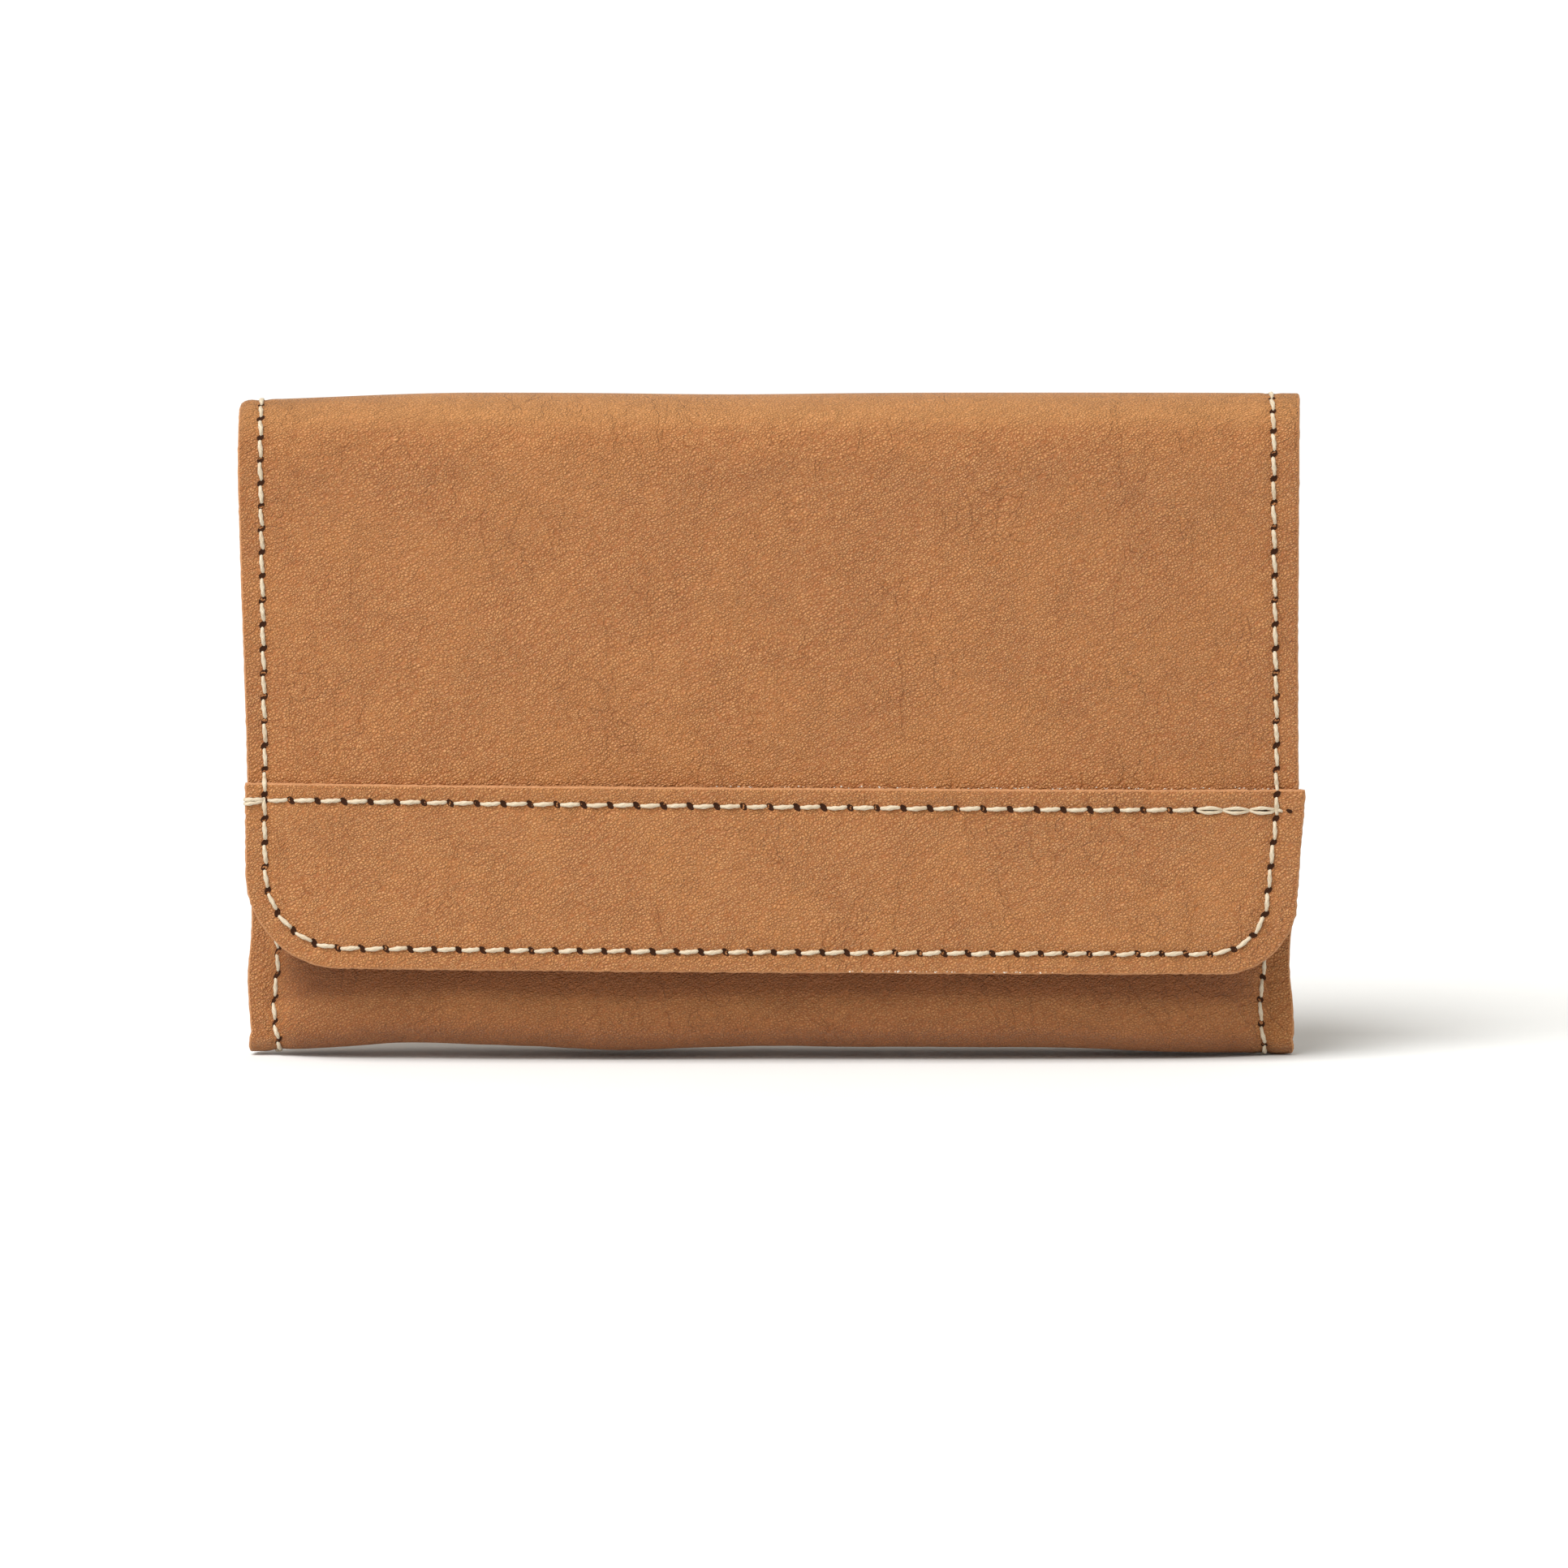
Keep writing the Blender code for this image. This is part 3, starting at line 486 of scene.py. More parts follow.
def swell(x, z):
    """0 where the side seams pinch the layers together, 1 where they stand fully apart."""
    across = np.maximum(0.0, 1 - (np.abs(x) / SWELL_EDGE) ** 5) ** 0.6
    return across * (1 - BASE_TAPER * (1 - smooth(z / 0.022))) * slimming(z)


def body_half(x, z):
    """Half the depth of the closed body, outside its front and back walls."""
    return SEAM_HALF + (FULL_HALF - SEAM_HALF) * swell(x, z)


def flap_half(x, z):
    """How far forward the flap hangs; it isn't sewn to the body, so it only bows back at its sides."""
    across = 1 - FLAP_BOW * np.minimum(1.0, np.abs(x) / CREST_HALF) ** 3
    return SEAM_HALF + (FULL_HALF - SEAM_HALF) * across * slimming(z)


def standoff(z):
    return 0.0004 * (1 - smooth((z - 0.038) / 0.030))


def flap_front(x, z, out):
    return flap_half(x, z) + standoff(z) + out


def top_dip(x):
    """How far the top fold sags towards its left end, with the corner itself rounded."""
    corner = np.clip((-x - (CREST_HALF - 0.0018)) / 0.0020, 0.0, 1.0)
    rounding = 0.0011 * (1 - np.sqrt(1 - corner**2))
    return 0.0012 * smooth((-0.052 - x) / 0.045) + 0.0003 * hump((x + 0.007) / 0.02) + rounding


def floor_lift(x):
    """The bottom fold stands on its two ends and arches off the table between them."""
    from_left = smooth((x + 0.094) / 0.030)
    rise = 0.0021 * from_left * smooth((0.094 - x) / 0.052)
    dent = 0.0005 * hump((x + 0.024) / 0.010) * from_left
    bow = 0.0007 * hump((x + 0.054) / 0.014)
    return rise + bow - dent + 0.0004 * smooth((-0.04 - x) / 0.05)


def settle(x, y, z, lifted=False):
    """Lets the top fold sag and, for the body, lifts the bottom fold."""
    z = z - top_dip(x) * smooth((z - 0.086) / 0.028)
    if lifted:
        z = z + floor_lift(x) * (1 - smooth((z - 0.001) / 0.030))
    return stacked(x, y, z)


def arch_span(x):
    """Middle and half of the top fold's outer span."""
    rear = body_half(x, ARCH_Z)
    front = flap_half(x, ARCH_Z) + PANEL_OUT
    return (rear - front) / 2, (rear + front) / 2


def on_arch(x, turn, depth):
    middle, half = arch_span(x)
    y = middle + (half - depth) * np.cos(turn)
    return y, ARCH_Z + (ARCH_RISE - depth) * np.sin(turn)


def flap_height(v):
    """Height of the flap's leather at v below the top fold's arch."""
    return ARCH_Z - (v - ARCH_RUN)


def flap_v(z):
    return ARCH_RUN + ARCH_Z - z


def flap_point(x, v, depth, out=PANEL_OUT):
    """A point of the flap: v = 0 on the crest; depth is counted inwards from the face at `out`."""
    turn = np.pi / 2 * (1 + np.clip(v / ARCH_RUN, 0, 1))
    y_arch, z_arch = on_arch(x, turn, PANEL_OUT - out + depth)
    z_wall = flap_height(v)
    y_wall = depth - flap_front(x, z_wall, out)
    below = v > ARCH_RUN
    return settle(x, np.where(below, y_wall, y_arch), np.where(below, z_wall, z_arch))


def band_point(x, v, depth):
    return flap_point(x, v, depth, out=BAND_OUT)


def flap_lining_point(x, v, depth):
    """The flap's lining, which steps forward below the panel's end to lie on the band."""
    step = 0.0010 * smooth((PANEL_END_Z - 0.0008 - flap_height(v)) / 0.0035)
    inner = LEATHER + GLUE
    return flap_point(x, v, depth - step, out=PANEL_OUT - inner)


def body_point(x, v, depth):
    """A point of the body's leather: v = 0 on the crest, then down the back, under and up the front."""
    y, z = on_arch(x, np.pi / 2 * (1 - np.clip(-v / ARCH_RUN, 0, 1)), depth)
    half_low = body_half(x, FOLD_RADIUS)
    radius = np.minimum(FOLD_RADIUS, half_low)
    flat_half, curve = half_low - radius, radius - depth
    back, rear_bend, floor, front_bend, front = (
        (-v - start) / (end - start) for start, end in zip(BODY_STOPS[1:], BODY_STOPS[2:])
    )
    z_back = ARCH_Z + (radius - ARCH_Z) * back
    z_front = radius + (MOUTH_Z - radius) * front
    rear_turn, front_turn = (np.pi / 2 * np.clip(share, 0, 1) for share in (rear_bend, front_bend))
    for share, new_y, new_z in (
        (back, body_half(x, z_back) - depth, z_back),
        (rear_bend, flat_half + curve * np.cos(rear_turn), radius - curve * np.sin(rear_turn)),
        (floor, flat_half * (1 - 2 * floor), depth),
        (front_bend, -flat_half - curve * np.sin(front_turn), radius - curve * np.cos(front_turn)),
        (front, depth - body_half(x, z_front), z_front),
    ):
        y, z = np.where(share > 0, new_y, y), np.where(share > 0, new_z, z)
    return settle(x, y, z, lifted=True)


def front_wall_v(z):
    """v of the body's front wall at a height."""
    return -(BODY_RUN - FRONT_RUN + (z - FOLD_RADIUS) * FRONT_RUN / (MOUTH_Z - FOLD_RADIUS))


def back_wall_v(z):
    return -(ARCH_RUN + (ARCH_Z - z))


def lining_front(x, z):
    return body_half(x, z) - LEATHER - GLUE - LINING


def back_lining_point(x, v, depth):
    """The back wall's lining, from its lower end up and over to the crest."""
    inner = LEATHER + GLUE
    turn = np.pi / 2 * (1 - np.clip(-v / ARCH_RUN, 0, 1))
    y_arch, z_arch = on_arch(x, turn, inner + depth)
    z_wall = ARCH_Z + (v + ARCH_RUN)
    below = v < -ARCH_RUN
    y_wall = body_half(x, z_wall) - inner - depth
    return settle(x, np.where(below, y_wall, y_arch), np.where(below, z_wall, z_arch))


def pocket_rear(x, z):
    seam_y = SEAM_HALF - LEATHER - 2 * GAP - LINING
    full_y = FULL_HALF - LEATHER - GAP - LINING - SLOT_ROWS * (SLOT + GAP) - ROOM
    return seam_y + (full_y - seam_y) * swell(x, z)


def pocket_front(x, z):
    seam_y = LEATHER + GAP - SEAM_HALF
    full_y = LEATHER + ROOM - FULL_HALF
    return seam_y + (full_y - seam_y) * swell(x, z)


POCKET_RADIUS = 0.0018
POCKET_WALL_RUN = POCKET_MOUTH_Z - POCKET_FLOOR_Z - POCKET_RADIUS
POCKET_BEND_RUN = 0.0052


def pocket_point(x, v, depth):
    """The coin pocket, folded at v = 0, with its front wall at v < 0."""
    side = np.where(v < 0, -1.0, 1.0)
    low_z = POCKET_FLOOR_Z + POCKET_RADIUS
    rear, front = pocket_rear(x, low_z), pocket_front(x, low_z)
    middle, half = (rear + front) / 2, (rear - front) / 2
    turn = np.pi / 2 * np.clip(np.abs(v) / POCKET_BEND_RUN, 0, 1)
    rise = np.minimum(POCKET_RADIUS, half)
    y_bend = middle + side * (half - depth) * np.sin(turn)
    z_bend = POCKET_FLOOR_Z + rise - (rise - depth) * np.cos(turn)
    share = (np.abs(v) - POCKET_BEND_RUN) / POCKET_WALL_RUN
    z_wall = POCKET_FLOOR_Z + rise + (POCKET_MOUTH_Z - POCKET_FLOOR_Z - rise) * share
    y_wall = np.where(v < 0, pocket_front(x, z_wall), pocket_rear(x, z_wall)) - side * depth
    y = np.where(share > 0, y_wall, y_bend)
    return stacked(x, y, np.where(share > 0, z_wall, z_bend))


# ---------------------------------------------------------------- meshes


class Build:
    """Collects points and faces of one piece, with a finish and flat coordinates for each."""

    def __init__(self):
        self.points = []
        self.flat = []
        self.shade = []
        self.faces = []
        self.finish = []
        self.count = 0

    def add(self, points, flat, shade=0.0):
        """Adds an array of points of any shape and returns their numbers in the same shape."""
        points = np.asarray(points, float)
        shape = points.shape[:-1]
        self.points.append(points.reshape(-1, 3))
        self.flat.append(np.broadcast_to(flat, (*shape, 2)).reshape(-1, 2))
        self.shade.append(np.broadcast_to(shade, shape).reshape(-1))
        numbers = np.arange(self.points[-1].shape[0]) + self.count
        self.count += len(numbers)
        return numbers.reshape(shape)

    def quads(self, numbers, finish, closed=False):
        """Faces between neighbouring rows of a grid of point numbers."""
        ahead = np.roll(numbers, -1, axis=1) if closed else numbers[:, 1:]
        here = numbers if closed else numbers[:, :-1]
        faces = np.stack([here[:-1], ahead[:-1], ahead[1:], here[1:]], axis=-1).reshape(-1, 4)
        self.faces.append(faces)
        self.finish.append(np.full(len(faces), finish))

    def fan(self, centre, flat, ring, finish):
        """Closes a ring of point numbers with triangles about a centre, written as quads ending in -1."""
        middle = self.add([centre], flat)
        self.faces.append(stacked(middle, ring, np.roll(ring, -1), -1))
        self.finish.append(np.full(len(ring), finish))

    def finished(self, name, finishes, outward=True):
        """The mesh object, whose faces point out."""
        points = np.concatenate(self.points)
        faces = np.concatenate(self.faces)
        if outward and signed_volume(points, faces) < 0:
            faces = np.where(faces[:, 3:] < 0, faces[:, [0, 2, 1, 3]], faces[:, ::-1])
        corners = [[i for i in face if i >= 0] for face in faces.tolist()]
        mesh = bpy.data.meshes.new(name)
        mesh.from_pydata(points.tolist(), [], corners)
        mesh.polygons.foreach_set("material_index", np.concatenate(self.finish).astype(np.int32))
        loops = np.empty(len(mesh.loops), np.int32)
        mesh.loops.foreach_get("vertex_index", loops)
        layer = mesh.uv_layers.new(name="flat")
        layer.data.foreach_set("uv", np.concatenate(self.flat)[loops].astype(np.float32).ravel())
        shading = mesh.attributes.new("shade", "FLOAT", "POINT")
        shading.data.foreach_set("value", np.concatenate(self.shade).astype(np.float32))
        for finish in finishes:
            mesh.materials.append(finish)
        mesh.shade_smooth()
        return add_object(name, mesh)


def signed_volume(points, faces):
    a, b, c = (points[faces[:, i]] for i in range(3))
    total = np.einsum("ij,ij->", a, np.cross(b, c))
    quads = faces[:, 3] >= 0
    d = points[faces[quads, 3]]
    return total + np.einsum("ij,ij->", a[quads], np.cross(c[quads], d))


def edge_loop(shape):
    """Row and column numbers once round a grid."""
    rows, columns = shape
    top = [(0, c) for c in range(columns)]
    right = [(r, columns - 1) for r in range(1, rows)]
    bottom = [(rows - 1, c) for c in range(columns - 2, -1, -1)]
    left = [(r, 0) for r in range(rows - 2, 0, -1)]
    return tuple(np.array(top + right + bottom + left).T)


def outward_of(loop):
    """Unit vectors pointing out of a closed flat loop of points."""
    ahead = np.roll(loop, -1, axis=0) - np.roll(loop, 1, axis=0)
    across = unit(np.stack([ahead[:, 1], -ahead[:, 0]], axis=-1))
    x, y = loop.T
    area = np.sum(x * np.roll(y, -1) - np.roll(x, -1) * y)
    return across if area > 0 else -across


def none(x, v):
    return np.zeros_like(x)


def leather_sheet(name, grid, place, thickness, finishes, relief=none, shade=none, joined=None, rag=0.0):
    """A sheet between two faces, with a rounded cut edge all round.

    `grid` holds the flat coordinates (x, v) of its rows and columns. `relief` raises the outer face,
    `joined` is a v at which the edge stays square because the sheet goes on there, and `rag` is how
    far the cut edge wanders.
    """
    x, v = grid
    build = Build()
    raised = relief(x, v)
    outer = build.add(place(x, v, -raised), np.stack([x, v], -1), shade(x, v))
    inner = build.add(place(x, v, thickness - 0.5 * raised), np.stack([x, v], -1))
    build.quads(outer, FACE)
    build.quads(inner[::-1], BACK)
    at = edge_loop(x.shape)
    loop = np.stack([x[at], v[at]], -1)
    outward = outward_of(loop)
    if joined is not None:
        outward = outward * (np.abs(loop[:, 1:] - joined) > 1e-6)
    run = run_along(loop)
    ragged = rag * (waves(run, 3 * run, 0.0016, 5) + 0.6 * waves(run, 2 * run, 0.0006, 9))
    rings = [outer[at]]
    for step in range(1, 5):
        turn = math.pi * step / 5
        spread = loop + outward * ((0.28 * thickness + ragged) * math.sin(turn))[:, None]
        depth = (thickness * (1 - math.cos(turn)) / 2) - raised[at] * (1 - step / 10)
        rings.append(build.add(place(spread[:, 0], spread[:, 1], depth), spread))
    rings.append(inner[at])
    build.quads(np.array(rings)[::-1], CUT_EDGE, closed=True)
    made = build.finished(name, finishes)
    if joined is not None:
        along = np.concatenate(build.flat)[:, 1]
        for face in made.data.polygons:
            face.use_smooth = not all(abs(along[i] - joined) < 1e-6 for i in face.vertices)
    return made


def waves(x, v, size, seed):
    """Smooth waviness about 0, from -1 to 1 or so, whose bumps are about `size` long."""
    random = np.random.default_rng(seed)
    total = np.zeros(np.broadcast(x, v).shape)
    for _ in range(WAVE_COUNT):
        turn = random.uniform(0, 2 * math.pi)
        length = 2 * size * random.uniform(0.7, 1.6)
        phase = random.uniform(0, 2 * math.pi)
        total += np.sin(2 * math.pi * (x * math.cos(turn) + v * math.sin(turn)) / length + phase)
    return total / math.sqrt(WAVE_COUNT)


def even(start, end, step):
    """Evenly spaced values from start to end, about a step apart."""
    return np.linspace(start, end, max(2, round(abs(end - start) / step) + 1))


def joined_runs(*runs):
    """Several runs of values end to end, without doubling the shared ends."""
    return np.concatenate([runs[0]] + [run[1:] for run in runs[1:]])


def stretched_grid(shares, v, left, right):
    """Rows at v whose ends lie at left(v) and right(v)."""
    low, high = left(v)[:, None], right(v)[:, None]
    return low + (high - low) * shares[None, :], np.repeat(v[:, None], len(shares), axis=1)


def shares_of(inner_step, edge_step, half=CREST_HALF):
    """Column positions from 0 to 1, closer together along the seam margins."""
    edge = even(-half, SEAM_MARGIN - half, edge_step)
    middle = even(SEAM_MARGIN - half, half - SEAM_MARGIN, inner_step)
    return (joined_runs(edge, middle, -edge[::-1]) + half) / (2 * half)


# ---------------------------------------------------------------- seam routes


class Route:
    """A line of evenly spaced stitches in flat coordinates."""

    def __init__(self, corners, pitch):
        self.corners = np.array(corners, float)
        self.runs = run_along(self.corners)
        self.length = self.runs[-1]
        self.stitches = max(1, round(self.length / pitch))
        self.pitch = self.length / self.stitches
        samples = self.at(np.arange(0, self.length, SAMPLE_STEP))
        self.tree = kdtree.KDTree(len(samples))
        for number, point in enumerate(samples):
            self.tree.insert((point[0], point[1], 0), number)
        self.tree.balance()

    def at(self, s):
        """Flat points at distances along the route."""
        return np.stack([np.interp(s, self.runs, self.corners[:, i]) for i in (0, 1)], -1)

    def near(self, x, v):
        """Distance to the route, and where along it the nearest point lies."""
        found = [self.tree.find((a, b, 0))[1:] for a, b in zip(x.ravel(), v.ravel())]
        number, distance = np.array(found).T
        return distance.reshape(x.shape), (number * SAMPLE_STEP).reshape(x.shape)


def arc(centre, radius, start, end):
    """Points on an arc of the band's corner between two angles in degrees, as flat coordinates."""
    turns = np.radians(np.linspace(start, end, 11))
    points = [(centre[0] + radius * math.cos(t), centre[1] + radius * math.sin(t)) for t in turns]
    return [(x, flap_v(z + band_tilt(x, z))) for x, z in points]


def left_edge(z):
    """The flap's left edge leans in towards its lower end."""
    return -(0.0924 + 0.0014 * smooth((z - 0.040) / 0.075))


def right_edge(z):
    return 0.0938 - 0.0003 * smooth((z - 0.04) / 0.04)


def band_left(z):
    """The band's left edge, rounded into its lower end."""
    drop = np.clip(FLAP_END_Z + LEFT_CORNER - z, 0, LEFT_CORNER)
    return -(0.0928 - LEFT_CORNER + np.sqrt(LEFT_CORNER**2 - drop**2))


def band_right(z):
    drop = np.clip(FLAP_END_Z + RIGHT_CORNER - z, 0, RIGHT_CORNER)
    lean = 0.0014 * (BAND_TOP_Z - np.maximum(z, FLAP_END_Z + RIGHT_CORNER)) / 0.020
    return 0.0949 - lean - RIGHT_CORNER + np.sqrt(RIGHT_CORNER**2 - drop**2)


def band_tilt(x, z):
    """The band hangs a little lower on the right."""
    share = smooth((0.060 - z) / 0.010)
    return -0.0006 * share * x / 0.09


def flap_edge_route():
    """Down the left side of the flap from the crest, round its end and up the right side."""
    left, right = -0.0896, 0.0901
    low = FLAP_END_Z + 0.0034
    radius_left, radius_right = 0.0134, 0.0098
    points = [(left - 0.0006, 0.0), (left - 0.0004, flap_v(0.1065)), (left, flap_v(0.060))]
    points += arc((left + radius_left, low + radius_left), radius_left, 180, 270)
    points += arc((right - 0.0016 - radius_right, low + radius_right), radius_right, -90, -12)
    points += [(right, flap_v(0.046)), (right - 0.0001, flap_v(0.060))]
    points += [(right - 0.0008, flap_v(0.100)), (right - 0.0010, 0.0)]
    return Route(points, PITCH)


def band_seam_route():
    drop = BAND_SEAM_DROP / 2
    ends = [(-0.0896, flap_v(BAND_SEAM_Z + drop)), (0.0899, flap_v(BAND_SEAM_Z - drop))]
    return Route(ends, BAND_PITCH)


def body_seam_route(side):
    """Down the back from the crest, under the bottom fold's corner and up the front."""
    x = side * (CREST_HALF - SEAM_INSET)
    points = [(0.0891 if side > 0 else -0.0902, 0.0), (x, back_wall_v(0.100))]
    for z in even(0.090, 0.006, 0.004):
        points.append((side * (0.0886 + 0.0004 * math.sin(z * 320 + side)), back_wall_v(z)))
    for z in even(0.0015, 0.088, 0.003):
        wander = 0.0006 * math.sin(z * 330 + 1.4 * side) * math.exp(-z / 0.05)
        points.append((side * (0.0884 + wander), front_wall_v(z)))
    return Route(points, PITCH)


def seam_relief(routes, base):
    """The base relief with a soft groove along each seam, pits at its holes and puckers beside it."""

    def relief(x, v):
        total = base(x, v)
        for route in routes:
            distance, s = route.near(x, v)
            phase = np.cos(2 * math.pi * s / route.pitch)
            pit = hump(distance / 0.0008) * np.maximum(0, phase) ** 3
            total = total - 0.00016 * (hump(distance / 0.0011) + pit)
            total = total + 0.00005 * hump((distance - 0.0021) / 0.0011) * (1 - 0.8 * phase)
        return total

    return relief


def seam_shade(routes, base):
    """Darkens the leather a little in the groove and round the holes."""

    def shade(x, v):
        total = base(x, v)
        for route in routes:
            distance, s = route.near(x, v)
            hole = np.maximum(0, np.cos(2 * math.pi * s / route.pitch)) ** 4
            total = total + hump(distance / 0.0008) * (0.10 + 0.38 * hole)
        return np.clip(total, 0, 1)

    return shade


# ---------------------------------------------------------------- stitches


def over_surface(place, relief):
    """A function that gives the point at a height over a sheet's outer face."""
    return lambda x, v, height: place(x, v, -(relief(x, v) + height))


def flap_surface(panel_relief, band_relief):
    """Heights over whichever of the panel and the band lies outermost."""

    def lay(x, v, height):
        top = BAND_TOP_Z + band_tilt(x, BAND_TOP_Z)
        share = smooth((top + 0.0010 - flap_height(v)) / 0.0009)
        depth = -((1 - share) * panel_relief(x, v) + share * band_relief(x, v) + height)
        share = share[..., None]
        return (1 - share) * flap_point(x, v, depth) + share * band_point(x, v, depth)

    return lay


def add_strand(build, lay, route, heights, radius, turns, flat_seed):
    """A twisted two-ply thread along flat points at heights over the surface."""
    count, sides = len(route), 10
    x, v = route.T
    centre = lay(x, v, heights)
    normal = unit(lay(x, v, heights + 0.0005) - centre)
    along = unit(np.gradient(centre, axis=0))
    normal = unit(normal - along * np.sum(normal * along, axis=1, keepdims=True))
    across = np.cross(normal, along)
    t = np.linspace(0, 1, count)[:, None]
    turn = np.linspace(0, 2 * math.pi, sides, endpoint=False)[None, :]
    size = (radius * (1 + 0.13 * np.cos(2 * (turn - turns * 2 * math.pi * t))))[..., None]
    round_it = np.cos(turn)[..., None] * across[:, None] + np.sin(turn)[..., None] * normal[:, None]
    flat = stacked(run_along(centre)[:, None] + flat_seed, turn * THREAD_RADIUS)
    numbers = build.add(centre[:, None] + size * round_it, flat)
    build.quads(numbers, THREAD, closed=True)
    for end, row in ((0, numbers[0][::-1]), (-1, numbers[-1])):
        build.fan(centre[end], flat[end][0], row, THREAD)


def add_stitch(build, lay, start, end, random, radius=THREAD_RADIUS, bow=0.0):
    """One stitch, which rises out of a hole and dives into the next one."""
    t = np.linspace(0, 1, 15)
    along = end - start
    bend = random.normal(0, 0.00004) + bow
    route = start + along * t[:, None] + sideways(unit(along)) * (bend * np.sin(math.pi * t))[:, None]
    heights = (STITCH_DIVE + STITCH_LIFT) * np.sin(math.pi * t) ** 0.45 - STITCH_DIVE
    sizes = radius * (0.66 + 0.34 * np.sin(math.pi * t) ** 0.6) * random.uniform(0.94, 1.06)
    turns = random.uniform(0.9, 1.3)
    add_strand(build, lay, route, heights, sizes[:, None], turns, random.uniform(0, 0.5))


def add_hole(build, lay, centre, direction, length, width, height=0.00007):
    """A dark slanting needle slit that follows the surface, a little dished."""
    sides = 14
    turn = np.linspace(0, -2 * math.pi, sides, endpoint=False)
    direction = unit(direction)
    pointed = np.sign(np.sin(turn)) * np.abs(np.sin(turn)) ** 1.3
    offset = np.outer(length / 2 * np.cos(turn), direction)
    offset += np.outer(width / 2 * pointed, sideways(direction))
    rings = []
    for share in (1.0, 0.6):
        at = centre + share * offset
        rings.append(build.add(lay(at[:, 0], at[:, 1], np.full(sides, height)), at))
    build.quads(np.array(rings), HOLE, closed=True)
    middle = lay(centre[:1], centre[1:], np.full(1, height))[0]
    build.fan(middle, centre, rings[-1], HOLE)


def sew(name, lay, route, finishes, seed, count=None, slant=0.00018):
    """The stitches of one route with their needle holes, or the first `count` of them."""
    random = np.random.default_rng(seed)
    build = Build()
    count = count or route.stitches
    for number in range(count):
        middle = (number + 0.5) * route.pitch
        half = STITCH_REACH * route.pitch * random.uniform(0.96, 1.03)
        start, end = route.at(middle - half), route.at(middle + half)
        lean = sideways(unit(end - start)) * slant * random.uniform(0.7, 1.3)
        add_stitch(build, lay, start + lean, end - lean, random)
    for number in range(count + 1):
        s = number * route.pitch
        along = route.at(s + 0.0004) - route.at(s - 0.0004)
        length = random.uniform(0.0014, 0.0018)
        add_hole(build, lay, route.at(s), along + 1.1 * sideways(along), length, 0.00105)
    return build.finished(name, finishes, outward=False)


# ---------------------------------------------------------------- pieces


def make_finishes():
    """The finishes of each kind of piece, in the order of its finish numbers."""
    tan = grain_leather("tan_grain", (0.508, 0.217, 0.0595))
    band = grain_leather("band_grain", (0.520, 0.226, 0.0630))
    inner = grain_leather("inner_grain", (0.40, 0.175, 0.075), (0.42, 0.34), 0.00004, 0.5)
    flesh = suede("flesh_side", (0.385, 0.185, 0.082))
    edge = cut_edge("raw_edge", (0.47, 0.215, 0.090))
    return {
        "outer": [tan, flesh, edge],
        "band": [band, flesh, edge],
        "suede": [flesh, flesh, edge],
        "lining": [inner, inner, edge],
        "inner": [inner, flesh, edge],
        "sewn": [thread_finish(), needle_hole_finish()],
        "glue": [glue_finish()],
        "tape": [tape_finish()] * 3,
        "brass": [metal("satin_brass", (0.72, 0.50, 0.22), 0.28)],
        "nickel": [metal("satin_nickel", (0.66, 0.63, 0.59), 0.25)],
    }


def hide_relief(seed, amount=1.0):
    """Gentle unevenness of a hand-cut hide: broad waves and smaller lumps."""

    def relief(x, v):
        broad = 0.00016 * waves(x, v, 0.030, seed) + 0.00007 * waves(x, v, 0.011, seed + 1)
        from_crest = smooth(np.abs(v) / 0.008)
        return amount * from_crest * (broad + 0.00002 * waves(x, v, 0.0035, seed + 2))

    return relief


def panel_shade(x, v):
    """Broad darker clouds in the hide, and the margins outside the seams."""
    broad, small = (np.clip(waves(x, v, size, seed), 0, 1.5) for size, seed in ((0.032, 21), (0.012, 22)))
    return 0.035 * broad + 0.02 * small + 0.10 * smooth((-x - 0.0912) / 0.0012)


def body_shade(x, v):
    """The body's clouds, and painted shade on the leather below the flap's end: darkest just under the
    flap's edge, where the flap casts its shadow, and darker again towards the bottom fold.
    """
    z = FOLD_RADIUS + (-v - (BODY_RUN - FRONT_RUN))
    # Painted shade below the flap: the flap's shadow under its edge, lighter in the middle, and darker
    # towards the bottom fold.
    painted_strip_shade = 0.62 * smooth((z + 0.004) / 0.004) - 0.37 * smooth((z - 0.002) / 0.006)
    painted_strip_shade = painted_strip_shade + 0.52 * smooth((z - 0.009) / 0.0028)
    covered = smooth((z - 0.0185) / 0.006)
    return 0.6 * panel_shade(x, v) + painted_strip_shade * (1 - covered) * smooth((0.0925 - np.abs(x)) / 0.010)


def body_edge(side):
    """Half width of the body along v: it widens to the flap's width over the top fold."""

    def edge(v):
        z_back = ARCH_Z + (v + ARCH_RUN)
        widen = smooth((z_back - 0.060) / 0.060)
        z_front = np.clip((-v - (BODY_RUN - FRONT_RUN)), 0, FRONT_RUN)
        ripple = 0.00040 * np.sin(z_front * 260 + side) * (z_front > 0)
        foot = hump((-v - LOWEST_RUN) / 0.007) * (0.0010 if side > 0 else 0.0003)
        wider = 0.0005 * smooth(z_front / 0.008) * (side > 0)
        return side * (BODY_HALF + (CREST_HALF - BODY_HALF) * widen + ripple + foot + wider)

    return edge


def flap_edge(side):
    """The flap's edge along v, from the crest's half width down to the leaning sides."""
    lower = right_edge if side > 0 else left_edge

    def edge(v):
        blend = smooth(v / ARCH_RUN)
        return (1 - blend) * side * CREST_HALF + blend * lower(flap_height(v))

    return edge


def bend(piece, first, second, joint_name, forward):
    """Bakes the piece's transform into its mesh."""
    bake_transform(piece)


